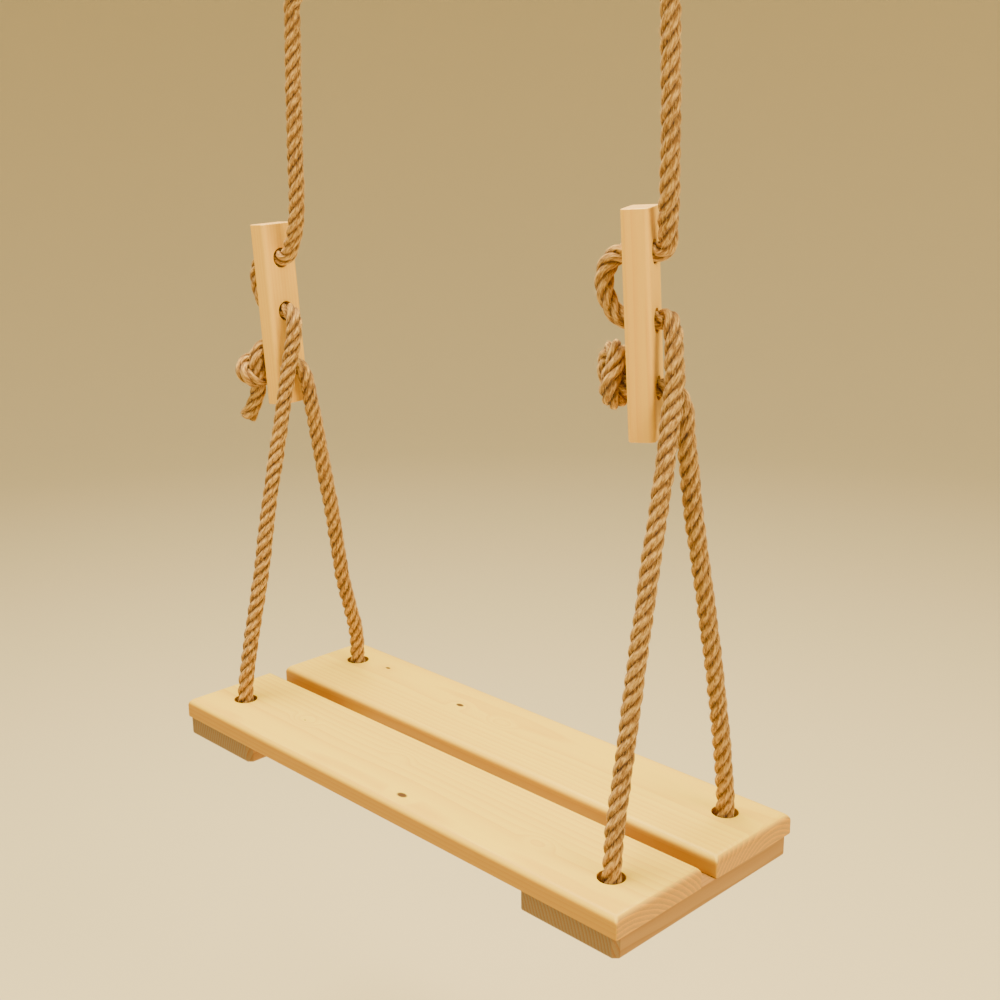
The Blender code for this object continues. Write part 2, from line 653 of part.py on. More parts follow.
def build_pivot(side):
    """The pivot bolt, its head on the left, and the nut on its other end."""
    x = SIDES[side]["sign"] * PIVOT_SPACING / 2
    seat = x - LUG_OUTSIDE - GAP
    nut_start = x + LUG_OUTSIDE + GAP
    end = nut_start + NUT_HEIGHT + BOLT_PAST_NUT
    head = bmesh.new()
    corner = hexagon_radius(BOLT_HEAD_ACROSS)
    add_rod(head, (seat - BOLT_HEAD_HEIGHT, 0, PIVOT_Z), (seat, 0, PIVOT_Z), corner, sides=6)
    bolt = add_mesh(side + "_pivot_bolt", head, ZINC)
    shank = bmesh.new()
    start = seat - BOLT_HEAD_HEIGHT / 2
    add_rod(shank, (start, 0, PIVOT_Z), (end, 0, PIVOT_Z), BOLT_DIAMETER / 2)
    carve(bolt, cutter(side + "_bolt_shank", shank), "UNION")
    ring = bmesh.new()
    add_rod(ring, (nut_start, 0, PIVOT_Z), (nut_start + NUT_HEIGHT, 0, PIVOT_Z), corner, sides=6)
    nut = add_mesh(side + "_pivot_nut", ring, ZINC)
    bore = bmesh.new()
    ends = (nut_start - NUT_HEIGHT, nut_start + 2 * NUT_HEIGHT)
    add_rod(bore, (ends[0], 0, PIVOT_Z), (ends[1], 0, PIVOT_Z), BOLT_DIAMETER / 2 + GAP)
    carve(nut, cutter(side + "_nut_bore", bore))
    return bolt, nut


def build_plate_screw(name, x):
    """A hexagon-headed wood screw that goes up through a bracket's plate into the beam."""
    under_plate = -PLATE_SIZE.z - GAP
    head = bmesh.new()
    bottom = under_plate - PLATE_SCREW_HEAD_HEIGHT
    corner = hexagon_radius(PLATE_SCREW_HEAD_ACROSS)
    add_rod(head, (x, 0, bottom), (x, 0, under_plate), corner, sides=6)
    screw = add_mesh(name, head, ZINC)
    radius = PLATE_SCREW_DIAMETER / 2
    tip = under_plate + PLATE_SCREW_LENGTH
    middle = bottom + PLATE_SCREW_HEAD_HEIGHT / 2
    profile = [(0, tip), (radius, tip - PLATE_SCREW_POINT), (radius, middle), (0, middle)]
    shank = cutter(name + "_shank", turned(profile, SMALL_SIDES))
    shank.location.x = x
    carve(screw, shank, "UNION")
    return screw


def build():
    """The whole swing."""
    clear_scene()
    swing = joint_empty("swing_pivot", (0, 0, PIVOT_Z))
    height = sum(facts["adjuster"].z for facts in SIDES.values()) / len(SIDES)
    adjust = joint_empty("adjuster_slide", (0, 0, height), swing)
    lift = joint_empty("seat_slide", (SEAT_OFFSET.x, SEAT_OFFSET.y, SEAT_TOP), adjust)
    for side, facts in SIDES.items():
        build_bracket(side)
        build_pivot(side)
        for way, word in ((-1, "left"), (1, "right")):
            place = facts["sign"] * PIVOT_SPACING / 2 + way * PLATE_SCREW_SPACING / 2
            build_plate_screw(f"{side}_plate_screw_{word}", place)
        lengths = build_ropes(side)
        for piece in (build_thimble(side), build_seizing(side), lengths["eye"], lengths["upper"]):
            hang_on(piece, swing)
        held = (build_adjuster(side), build_stopper_knot(side))
        for piece in (*held, lengths["loop"], lengths["tail"], lengths["front"], lengths["rear"]):
            hang_on(piece, adjust)
        for piece in (build_batten(side), lengths["under"]):
            hang_on(piece, lift)
        for row in ("front", "rear"):
            for number, (x, y) in enumerate(screw_places(side, row), 1):
                hang_on(build_seat_screw(f"{side}_{row}_screw_{number}", x, y), lift)
    for row in ("front", "rear"):
        hang_on(build_plank(row), lift)


build()
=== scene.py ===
"""Looks for the porch swing: planed pine seat and length adjusters, four-strand jute ropes, zinc-plated fittings.

Metres, +Z up, X along the seat, Y from front to rear. The origin is half way between the ceiling brackets.
"""

import math

import bmesh
import bpy
import numpy as np
from mathutils import Matrix, Vector


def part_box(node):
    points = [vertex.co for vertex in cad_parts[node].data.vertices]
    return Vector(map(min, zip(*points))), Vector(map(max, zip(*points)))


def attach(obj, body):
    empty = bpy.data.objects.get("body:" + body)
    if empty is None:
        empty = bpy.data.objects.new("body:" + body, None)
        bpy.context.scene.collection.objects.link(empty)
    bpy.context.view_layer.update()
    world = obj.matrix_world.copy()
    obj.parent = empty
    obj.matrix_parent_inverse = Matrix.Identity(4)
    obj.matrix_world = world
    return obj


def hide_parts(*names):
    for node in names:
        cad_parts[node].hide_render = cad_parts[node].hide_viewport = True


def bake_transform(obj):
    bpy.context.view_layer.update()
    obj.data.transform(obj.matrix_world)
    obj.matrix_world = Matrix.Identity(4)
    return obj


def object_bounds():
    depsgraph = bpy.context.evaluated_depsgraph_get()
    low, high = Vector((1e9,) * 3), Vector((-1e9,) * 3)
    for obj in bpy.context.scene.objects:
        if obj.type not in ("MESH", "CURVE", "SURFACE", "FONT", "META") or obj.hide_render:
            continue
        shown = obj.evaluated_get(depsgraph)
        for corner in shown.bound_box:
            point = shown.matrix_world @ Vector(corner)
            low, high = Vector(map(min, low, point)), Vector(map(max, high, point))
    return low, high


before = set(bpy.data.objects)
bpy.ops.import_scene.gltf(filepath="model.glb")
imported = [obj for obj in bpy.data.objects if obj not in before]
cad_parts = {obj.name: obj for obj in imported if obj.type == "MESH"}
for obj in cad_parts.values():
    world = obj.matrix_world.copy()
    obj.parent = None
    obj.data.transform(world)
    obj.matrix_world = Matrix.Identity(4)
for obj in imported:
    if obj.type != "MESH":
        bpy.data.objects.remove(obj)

cad_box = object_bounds()
MM = 0.001
UP = Vector((0, 0, 1))
SIDES = ("left", "right")
ROWS = ("front", "rear")


# ---------------------------------------------------------------- camera

CAMERA_PLACE = Vector((0.84503, -0.78840, -0.21875))
CAMERA_AZIMUTH = math.radians(45.479)
CAMERA_ELEVATION = math.radians(15.633)
CAMERA_ROLL = math.radians(-0.568)
CAMERA_LENS = 50.51


def make_camera():
    """The camera, which looks down on the seat from its front right corner."""
    data = bpy.data.cameras.new("camera")
    data.lens = CAMERA_LENS
    data.sensor_width = 36
    data.clip_start = 0.01
    camera = bpy.data.objects.new("camera", data)
    bpy.context.scene.collection.objects.link(camera)
    level = math.cos(CAMERA_ELEVATION)
    back = Vector((math.sin(CAMERA_AZIMUTH) * level, -math.cos(CAMERA_AZIMUTH) * level,
                   math.sin(CAMERA_ELEVATION)))
    right = UP.cross(back).normalized()
    turn = Matrix((right, back.cross(right), back)).transposed()
    camera.matrix_world = Matrix.Translation(CAMERA_PLACE) @ (turn @ Matrix.Rotation(CAMERA_ROLL, 3, "Z")).to_4x4()
    bpy.context.scene.camera = camera


make_camera()


# ---------------------------------------------------------------- rope

ROPE_DIAMETER = 15 * MM
ROPE_RADIUS = ROPE_DIAMETER / 2
ROPE_LAY = 47 * MM
ROPE_STRANDS = 4
ROPE_STEP = 1.25 * MM
STRAND_SIDES = 12
GROOVE_SHARE = 0.32
YARN_DEPTH = 0.6 * MM
YARNS_ACROSS = 2.5
TWINE_DIAMETER = 2.2 * MM

# The length adjusters, as the ropes hold them: middle, turns about Z, Y and X in degrees, and the rope's free
# points between the holes that it passes through, from the ceiling down and back up
ADJUSTER_HOLES = (53 * MM, 3 * MM, -47 * MM)
ADJUSTER_THICKNESS = 21 * MM
FACE = ADJUSTER_THICKNESS / 2
STRAIGHT_OUT = 3 * MM
BACK_LOOP_DEPTH = 17.5 * MM
BACK_LOOP_LIFT = 0.15
HUNG = {
    "left": {
        "middle": Vector((-0.2545, 0.0010, -0.4062)),
        "turns": (3.0, -2.8, 1.5),
        "upper": [(-0.2120, 0.0, -0.152), (-0.2150, 0.0, -0.215), (-0.2183, 0.0002, -0.290),
                  (-0.2222, 0.0004, -0.320), (-0.2285, 0.0008, -0.3355), (-0.2352, 0.0012, -0.3482)],
        "front": [(-0.2345, 0.0006, -0.4034), (-0.2288, -0.0015, -0.4105), (-0.2276, -0.0045, -0.427),
                  (-0.2294, -0.0112, -0.456), (-0.2310, -0.0163, -0.4845), (-0.2322, -0.0380, -0.5786),
                  (-0.2345, -0.0585, -0.680), (-0.2385, -0.0712, -0.745)],
        "rear": [(-0.2388, 0.0650, -0.745), (-0.2330, 0.0468, -0.680), (-0.2302, 0.0321, -0.592),
                 (-0.2296, 0.0148, -0.495), (-0.2290, 0.0104, -0.472), (-0.2320, 0.0076, -0.4590)],
    },
    "right": {
        "middle": Vector((0.1896, 0.0052, -0.3729)),
        "turns": (25.9, -1.9, 2.2),
        "upper": [(0.2121, 0.0, -0.152), (0.2146, 0.0002, -0.207), (0.2150, 0.0010, -0.262),
                  (0.2128, 0.0035, -0.287), (0.2096, 0.0065, -0.3010), (0.2062, 0.0104, -0.3150)],
        "front": [(0.2070, 0.0122, -0.3675), (0.2132, 0.0100, -0.3745), (0.2176, 0.0068, -0.3905),
                  (0.2212, 0.0030, -0.4180), (0.2240, -0.0050, -0.4460), (0.2262, -0.0128, -0.4735),
                  (0.2292, -0.0382, -0.590), (0.2305, -0.0580, -0.690), (0.2328, -0.0705, -0.745)],
        "rear": [(0.2330, 0.0655, -0.745), (0.2310, 0.0495, -0.645), (0.2246, 0.0288, -0.526),
                 (0.2222, 0.0180, -0.4560), (0.2196, 0.0188, -0.4360), (0.2140, 0.0172, -0.4245)],
    },
}

# A loose overhand knot behind an adjuster's lowest hole, in millimetres: out of the hole, across and up. It is
# pulled tight below. The tail's points follow it, once it is tight.
LOOSE_KNOT = [(0, 0, 0), (12, 0, 0), (30, 0, 2), (44, 0, 14), (38, 0, 32), (20, -6, 38), (6, -14, 24), (8, -16, 0),
              (14, -10, -18), (22, 10, -16), (26, 15, 2), (28, 8, 16), (32, -6, 26), (34, -16, 42)]
KNOT_SHAPE = {
    "left": {"spin": 90, "flip": 1, "tail": [(1, 2, -10), (3, 2, -24), (8, -2, -38), (14, -6, -50)]},
    "right": {"spin": 315, "flip": 1, "tail": [(-1, 5, 5), (-2, 9, 9)]},
}
KNOT_LENGTH = 138 * MM
KNOT_INSIDE = 8 * MM
KNOT_TURNS_APART = 13.6 * MM
KNOT_STIFFNESS = 0.93


def adjuster_turn(side):
    """How an adjuster is turned: its hole faces look along its own X, its length is its own Z."""
    yaw, lean, pitch = (math.radians(angle) for angle in HUNG[side]["turns"])
    return Matrix.Rotation(lean, 3, "Y") @ Matrix.Rotation(pitch, 3, "X") @ Matrix.Rotation(yaw, 3, "Z")


def adjuster_hole(side, number, out):
    """A point on the axis of an adjuster's hole, that far out from its middle plane."""
    return HUNG[side]["middle"] + adjuster_turn(side) @ Vector((out, 0, ADJUSTER_HOLES[number]))


def smooth(points, per_span=10):
    """A centripetal Catmull-Rom curve through the points, as an array."""
    points = [Vector(point) for point in points]
    ends = [points[0] * 2 - points[1], *points, points[-1] * 2 - points[-2]]
    line = []
    for a, b, c, d in zip(ends, ends[1:], ends[2:], ends[3:]):
        steps = [0.0]
        for first, second in ((a, b), (b, c), (c, d)):
            steps.append(steps[-1] + math.sqrt((second - first).length))
        for n in range(per_span):
            t = steps[1] + (steps[2] - steps[1]) * n / per_span
            ab = a.lerp(b, (t - steps[0]) / (steps[1] - steps[0]))
            bc = b.lerp(c, (t - steps[1]) / (steps[2] - steps[1]))
            cd = c.lerp(d, (t - steps[2]) / (steps[3] - steps[2]))
            left = ab.lerp(bc, (t - steps[0]) / (steps[2] - steps[0]))
            right = bc.lerp(cd, (t - steps[1]) / (steps[3] - steps[1]))
            line.append(left.lerp(right, (t - steps[1]) / (steps[2] - steps[1])))
    return np.array([*line, points[-1]])


def length_of(line):
    """The length of a line of points."""
    return float(np.linalg.norm(np.diff(line, axis=0), axis=1).sum())


def spaced(line, step):
    """The line again, with its points one step apart."""
    along = np.concatenate([[0], np.cumsum(np.linalg.norm(np.diff(line, axis=0), axis=1))])
    at = np.linspace(0, along[-1], max(2, round(along[-1] / step) + 1))
    return np.stack([np.interp(at, along, line[:, axis]) for axis in range(3)], axis=1)


def tightened(line, length, steps=900):
    """Pulls a loose knot to that length. Its first points stay in the hole, its turns rest on each other and on
    the wood, and none bends tighter than the rope can."""
    points = spaced(line, 4 * MM)
    count = len(points)
    loose = length_of(line)
    order = np.arange(count)
    stiff = 3
    for n in range(steps):
        share = min(1.0, n / (0.6 * steps))
        rest = (loose * (1 - share) + length * share) / (count - 1)
        for _ in range(2):
            link = np.diff(points, axis=0)
            pull = link * (0.45 * (1 - rest / np.linalg.norm(link, axis=1)))[:, None]
            points[:-1] += pull
            points[1:] -= pull
            points[:2] = ((0, 0, 0), (rest, 0, 0))
        chord = points[stiff:] - points[:-stiff]
        size = np.linalg.norm(chord, axis=1)
        push = chord * (0.25 * np.clip(KNOT_STIFFNESS * stiff * rest - size, 0, None) / size)[:, None]
        points[stiff:] += push
        points[:-stiff] -= push
        between = points[:, None] - points[None]
        size = np.linalg.norm(between, axis=2) + 1e-9
        apart = np.abs(np.subtract.outer(order, order)) * rest > 1.65 * ROPE_DIAMETER
        deep = np.where(apart, np.clip(KNOT_TURNS_APART - size, 0, None), 0)
        touching = np.maximum((deep > 0).sum(1), 1)[:, None]
        points += 0.5 * (between / size[..., None] * deep[..., None]).sum(1) / touching
        free = order * rest > ROPE_RADIUS + 3 * MM
        points[free, 0] = np.maximum(points[free, 0], ROPE_RADIUS + KNOT_INSIDE)
        points[:2] = ((0, 0, 0), (rest, 0, 0))
        points[1:-1] += 0.03 * (points[:-2] + points[2:] - 2 * points[1:-1])
    return points


def knot_route(side):
    """The stopper knot behind the lowest hole and its tail, in the frame."""
    facts = KNOT_SHAPE[side]
    loose = np.array(LOOSE_KNOT, float) * MM * (1, facts["flip"], 1)
    spin = np.array(Matrix.Rotation(math.radians(facts["spin"]), 3, "X"))
    tight = tightened(smooth(loose @ spin.T), KNOT_LENGTH) - (KNOT_INSIDE, 0, 0)
    tail = [tight[-1] + np.array(point) * MM for point in facts["tail"]]
    line = smooth([*tight[1:], *tail], 4)
    turn = np.array(adjuster_turn(side)) @ np.diag((-1, 1, 1))
    return line @ turn.T + np.array(adjuster_hole(side, 2, -FACE))


def wandering(count, step, wave, seed, columns):
    """Smooth random values from -1 to 1 that change about once per wave, one row per step."""
    random = np.random.default_rng(seed)
    knots = random.uniform(-1, 1, (int(count * step / wave) + 4, columns))
    at = np.arange(count) * step / wave
    index = at.astype(int)
    part = at - index
    part = (part * part * (3 - 2 * part))[:, None]
    return knots[index] * (1 - part) + knots[index + 1] * part


def upright_frames(line):
    """Two directions square to the line at each point, which don't twist along it."""
    ahead = np.gradient(line, axis=0)
    ahead /= np.linalg.norm(ahead, axis=1)[:, None]
    first = np.cross(ahead[0], (0.3, 1.0, 0.2))
    sides = []
    for direction in ahead:
        first = first - direction * (first @ direction)
        first /= np.linalg.norm(first)
        sides.append(first)
    sides = np.array(sides)
    return sides, np.cross(ahead, sides), ahead


def laid_rope(name, line, finish, diameter=ROPE_DIAMETER, lay=ROPE_LAY, strands=ROPE_STRANDS,
              strand_sides=STRAND_SIDES,
              step=ROPE_STEP, yarns=YARNS_ACROSS, yarn_depth=YARN_DEPTH, fibres_per_metre=0, wobble=0.0, seed=1,
              loose_end=False):
    """A laid rope along the line: strands twisted right-handed round each other, each of them made of yarns
    twisted the other way, and loose fibres that stand out of it. Returns the object and its line."""
    line = spaced(line, step)
    count = len(line)
    radius = diameter / 2
    sides = strands * strand_sides
    first, second, ahead = upright_frames(line)
    along = np.arange(count) * step
    ends = np.clip(np.minimum(along, along[-1] - along) / (2 * diameter), 0, 1)[:, None]
    drift = wandering(count, step, 2.2 * diameter, seed, 3) * ends
    line = line + wobble * (first * drift[:, :1] + second * drift[:, 1:2])
    thickness = 1 + 0.035 * drift[:, 2]
    if loose_end:
        thickness = thickness * (1 + 0.12 * np.clip(1 - (along[-1] - along) / diameter, 0, 1) ** 2)
    twist = math.tau * (along / lay + 0.05 * wandering(count, step, 1.7 * lay, seed + 1, 1)[:, 0])
    across = np.arange(sides) % strand_sides / strand_sides * 2 - 1
    strand = np.arange(sides) // strand_sides
    angle = np.arange(sides) / sides * math.tau + twist[:, None]
    width = math.pi * diameter / strands / 2
    yarn_lean = 0.7 * math.tau * radius / lay
    drop = GROOVE_SHARE * np.abs(across) ** 2.2
    yarn = (across * width + yarn_lean * along[:, None]) * yarns / (2 * width)
    proud = np.abs(np.cos(math.pi * (yarn + strand / strands)))
    uneven = 0.3 * MM * wandering(count, step, 0.6 * diameter, seed + 2, strands)[:, strand]
    bump = (yarn_depth * (proud - 0.65) + uneven * diameter / ROPE_DIAMETER) * (1 - across**2)
    reach = radius * (1 - drop) * thickness[:, None] + bump
    rings = (line[:, None] + first[:, None] * (np.cos(angle) * reach)[..., None]
             + second[:, None] * (np.sin(angle) * reach)[..., None])
    points = rings.reshape(-1, 3)
    row = np.arange(count - 1)[:, None] * sides
    here = np.arange(sides)
    beside = (here + 1) % sides
    quads = np.stack([row + here, row + beside, row + sides + beside, row + sides + here], axis=-1).reshape(-1, 4)
    faces = quads.tolist()
    faces += [list(here[::-1]), list(here + (count - 1) * sides)]
    wide = np.stack([across, across + 2 / strand_sides], axis=-1) * width
    low, high = along[:-1], along[1:]
    u = np.broadcast_to(wide[None], (count - 1, sides, 2))
    strips = np.broadcast_to((strand * 0.1)[None], (count - 1, sides))
    corner_u = np.stack([u[..., 0] + yarn_lean * low[:, None], u[..., 1] + yarn_lean * low[:, None],
                         u[..., 1] + yarn_lean * high[:, None], u[..., 0] + yarn_lean * high[:, None]], axis=-1)
    corner_u = corner_u + strips[..., None]
    corner_v = np.stack([low, low, high, high], axis=-1)[:, None].repeat(sides, axis=1)
    uvs = [np.stack([corner_u, corner_v], axis=-1).reshape(-1, 2), np.zeros((2 * sides, 2))]
    # Painted light and shade for the colour: low in the grooves between strands, high on the yarns' crowns
    painted_crown_light = [((1 - np.abs(across) ** 1.6) * (0.5 + 0.5 * proud)).ravel()]

    random = np.random.default_rng(seed + 7)
    fibres = int(fibres_per_metre * along[-1])
    if fibres:
        at = random.integers(2, count - 2, fibres)
        if loose_end:
            at[: fibres // 14] = random.integers(count - int(diameter / step), count - 2, fibres // 14)
        turn = random.uniform(0, math.tau, fibres)
        outward = first[at] * np.cos(turn)[:, None] + second[at] * np.sin(turn)[:, None]
        sideways = np.cross(ahead[at], outward)
        lean = random.choice((-1, 1), fibres)
        if loose_end:
            lean[: fibres // 14] = 1
        size = random.uniform(3, 9, fibres) * MM * diameter / ROPE_DIAMETER
        size = np.minimum(size, 3 * MM + along[-1] - along[at])
        rise = random.uniform(0.06, 0.36, fibres) * size
        curl = random.uniform(-0.35, 0.45, fibres) * size
        base = line[at] + outward * radius * 0.86
        rows = []
        for t, thin in ((0, 1), (0.35, 1), (0.7, 0.8), (1, 0.35)):
            middle = (base + ahead[at] * (lean * size * t)[:, None] + sideways * (curl * t * t)[:, None]
                      + outward * (rise * t * (1.6 - 0.6 * t))[:, None])
            spoke = 0.075 * MM * thin
            for way in range(3):
                bend = math.tau * way / 3
                rows.append(middle + spoke * (outward * math.cos(bend) + sideways * math.sin(bend)))
        start = len(points) + 12 * np.arange(fibres)
        points = np.concatenate([points, np.stack(rows, axis=1).reshape(-1, 3)])
        walls = [(r * 3 + a, r * 3 + (a + 1) % 3, r * 3 + 3 + (a + 1) % 3, r * 3 + 3 + a)
                 for r in range(3) for a in range(3)]
        flip = lean < 0
        for corners in walls + [(2, 1, 0), (9, 10, 11)]:
            block = start[:, None] + np.array(corners)
            block[flip] = block[flip][:, ::-1]
            faces += block.tolist()
            uvs.append(np.repeat(np.stack([turn, along[at]], axis=1), len(corners), axis=0))
        # Loose fibres get the palest painted light
        painted_crown_light.append(np.full(12 * fibres, 1.3))

    mesh = bpy.data.meshes.new(name)
    mesh.from_pydata(points.tolist(), [], faces)
    mesh.uv_layers.new(name="yarn").data.foreach_set("uv", np.concatenate(uvs).astype(np.float32).ravel())
    shade = mesh.attributes.new("painted_crown_light", "FLOAT", "POINT")
    shade.data.foreach_set("value", np.concatenate(painted_crown_light).astype(np.float32))
    mesh.shade_smooth()
    return show(name, mesh, finish), line


def show(name, mesh, finish):
    """Links a new piece with its material."""
    piece = bpy.data.objects.new(name, mesh)
    bpy.context.scene.collection.objects.link(piece)
    mesh.materials.clear()
    mesh.materials.append(finish)
    return piece


# ---------------------------------------------------------------- finishes


def linear(colour):
    """An sRGB hex colour as linear RGBA."""
    parts = [int(colour[n : n + 2], 16) / 255 for n in (1, 3, 5)]
    return (*(part / 12.92 if part <= 0.04045 else ((part + 0.055) / 1.055) ** 2.4 for part in parts), 1.0)


def add(tree, kind, inputs=(), stops=(), out=0, **settings):
    """Adds a shader node. Inputs are (socket, value or another node's output) pairs, and stops a ramp's
    (place, colour or grey) pairs. Returns its output of that name or number."""
    made = tree.nodes.new("ShaderNode" + kind)
    for key, value in settings.items():
        setattr(made, key, value)
    if stops:
        ramp = made.color_ramp.elements
        ramp[0].position, ramp[1].position = stops[0][0], stops[-1][0]
        for place, _ in stops[1:-1]:
            ramp.new(place)
        for stop, (_, colour) in zip(ramp, stops):
            stop.color = linear(colour) if isinstance(colour, str) else (colour, colour, colour, 1)
    for key, value in inputs:
        socket = made.inputs[key]
        if isinstance(value, bpy.types.NodeSocket):
            tree.links.new(value, socket)
        else:
            socket.default_value = value
    return made.outputs[out]


def new_material(name, roughness, metallic=0.0, ior=None, sheen=0.0, colour=None):
    """A material with its shader's plain values set. Returns it, its node tree and its shader."""
    made = bpy.data.materials.new(name)
    made.use_nodes = True
    tree = made.node_tree
    shader = tree.nodes["Principled BSDF"]
    shader.inputs["Roughness"].default_value = roughness
    shader.inputs["Metallic"].default_value = metallic
    shader.inputs["Sheen Weight"].default_value = sheen
    shader.inputs["Sheen Roughness"].default_value = 0.6
    if ior:
        shader.inputs["IOR"].default_value = ior
    if colour:
        shader.inputs["Base Color"].default_value = linear(colour)
    return made, tree, shader


def jute(name, dark, middle, light, grey):
    """Jute fibre, spun and laid dry: matt, with a faint sheen at its edges, each yarn streaked along its fibres,
    darker down in the grooves as painted shade, and paler on the strands' crowns and where single fibres stand
    out, as painted light."""
    made, tree, shader = new_material(name, 0.9, ior=1.5, sheen=0.12)
    uv = add(tree, "UVMap", uv_map="yarn")
    # Fibres are drawn 0.5 mm wide, coarser than they are, so that they show; tufts of them are 1.5 x 5 mm
    fine = add(tree, "Mapping", [("Vector", uv), ("Scale", (1 / (0.55 * MM), 1 / (4 * MM), 1))])
    tuft = add(tree, "Mapping", [("Vector", uv), ("Scale", (1 / (1.5 * MM), 1 / (5 * MM), 1))])
    streak = add(tree, "TexNoise", [("Vector", fine), ("Scale", 1.0), ("Detail", 3.0), ("Roughness", 0.7)])
    yarn = add(tree, "TexNoise", [("Vector", tuft), ("Scale", 1.0), ("Detail", 2.0)])
    place = add(tree, "TexCoord", out="Object")
    patch = add(tree, "TexNoise", [("Vector", place), ("Scale", 28.0), ("Detail", 3.0)])
    # Painted shade down in the grooves and painted light on the crowns and loose fibres, read from the mesh
    height = add(tree, "Attribute", out="Fac", attribute_name="painted_crown_light")
    mixed = add(tree, "Math", [(0, yarn), (1, 1.4), (2, streak)], operation="MULTIPLY_ADD")
    mixed = add(tree, "Math", [(0, mixed), (1, 0.85), (2, -1.02)], operation="MULTIPLY_ADD")
    lit = add(tree, "Math", [(0, height), (1, 0.5), (2, mixed)], operation="MULTIPLY_ADD")
    lit = add(tree, "Math", [(0, patch), (1, 0.5), (2, lit)], operation="MULTIPLY_ADD")
    colour = add(tree, "ValToRGB", [("Fac", lit)], stops=[(0.08, dark), (0.45, middle), (0.9, light)])
    dull = add(tree, "MapRange", [("Value", patch), ("From Min", 0.5), ("From Max", 0.68), ("To Max", 0.55)])
    toned = add(tree, "Mix", [(0, dull), (6, colour), (7, linear(grey))], out=2, data_type="RGBA",
                blend_type="MULTIPLY")
    tree.links.new(toned, shader.inputs["Base Color"])
    bump = add(tree, "Bump", [("Height", mixed), ("Strength", 1.0), ("Distance", 0.8 * MM)])
    tree.links.new(bump, shader.inputs["Normal"])
    return made


ROPE = jute("jute_rope_dry_laid", "#40270B", "#9C6E2A", "#F1C870", "#CDBE92")
TWINE = jute("jute_twine_spun", "#4E3214", "#9A7038", "#C99E60", "#C08A48")


# ---------------------------------------------------------------- the ropes' routes

seat_box = [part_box("front_plank"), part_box("rear_plank")]
SEAT_TOP = seat_box[0][1].z
BATTEN_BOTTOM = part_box("left_batten")[0].z
HOLE_FROM_END = 40.7 * MM
HOLE_FROM_EDGE = {"front": 40.9 * MM, "rear": 35.7 * MM}
SEAT_HOLE_DIAMETER = 22 * MM
TURN_UNDER_SEAT = 12 * MM
PIVOT = {side: (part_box(side + "_thimble")[0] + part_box(side + "_thimble")[1]) / 2 for side in SIDES}
EYE_RADIUS = 21 * MM
EYE_NECK_LEAN = 4.5 * MM
EYE_TAIL = 6 * MM
EYE_NECK = 27 * MM
GAP = 0.3 * MM


def seat_hole(side, row):
    """The middle of a rope hole, on the planks' top."""
    low, high = seat_box[0 if row == "front" else 1]
    x = low.x + HOLE_FROM_END if side == "left" else high.x - HOLE_FROM_END
    y = low.y + HOLE_FROM_EDGE["front"] if row == "front" else high.y - HOLE_FROM_EDGE["rear"]
    return Vector((x, y, SEAT_TOP))


def eye_route(side):
    """From the eye's bound end up over the thimble and down to the rope's neck."""
    way = -1 if side == "left" else 1
    pivot = PIVOT[side]
    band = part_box(side + "_eye_seizing")
    leg = ROPE_RADIUS + GAP
    join = band[0].z - EYE_NECK
    neck = pivot.x + way * EYE_NECK_LEAN
    route = [(pivot.x, -leg, band[0].z - EYE_TAIL), (pivot.x, -leg, band[0].z), (pivot.x, -leg, band[1].z)]
    for n in range(9):
        angle = math.radians(205 - 230 * n / 8)
        route.append((pivot.x, EYE_RADIUS * math.cos(angle), pivot.z + EYE_RADIUS * math.sin(angle)))
    route += [(pivot.x, leg, band[1].z), (pivot.x, leg, band[0].z)]
    route += [((pivot.x + neck) / 2, leg / 2, (band[0].z + join) / 2), (neck, 0, join + STRAIGHT_OUT)]
    return route + [(neck, 0, join - STRAIGHT_OUT)]


def hanging_route(side):
    """The eye, the upper rope, the loop behind the adjuster and back into its middle hole."""
    route = eye_route(side) + HUNG[side]["upper"]
    route += [adjuster_hole(side, 0, out) for out in (FACE + STRAIGHT_OUT, FACE, -FACE)]
    top, bottom = (adjuster_hole(side, n, -FACE) for n in (0, 1))
    backwards = adjuster_turn(side) @ Vector((-1, 0, 0))
    for n in range(1, 6):
        angle = math.pi * n / 6
        centre = bottom.lerp(top, (1 + math.cos(angle)) / 2)
        depth = BACK_LOOP_DEPTH * math.sin(angle) * (1 + BACK_LOOP_LIFT * math.cos(angle))
        route.append(centre + backwards * depth)
    return route + [bottom, adjuster_hole(side, 1, 0)]


def seat_route(side):
    """From the adjuster's middle hole to the front hole, under the seat, up to the rear hole and to the lowest."""
    route = [adjuster_hole(side, 1, out) for out in (0, FACE, FACE + STRAIGHT_OUT)] + HUNG[side]["front"]
    near, far = seat_hole(side, "front"), seat_hole(side, "rear")
    low = BATTEN_BOTTOM - GAP - ROPE_RADIUS
    turn = TURN_UNDER_SEAT
    route += [near + UP * STRAIGHT_OUT, near]
    for n in range(4):
        angle = math.radians(30 * n)
        route.append((near.x, near.y + turn * (1 - math.cos(angle)), low + turn * (1 - math.sin(angle))))
    for n in range(3, -1, -1):
        angle = math.radians(30 * n)
        route.append((far.x, far.y - turn * (1 - math.cos(angle)), low + turn * (1 - math.sin(angle))))
    route += [far, far + UP * STRAIGHT_OUT] + HUNG[side]["rear"]
    return route + [adjuster_hole(side, 2, out) for out in (FACE + STRAIGHT_OUT, FACE, 0)]


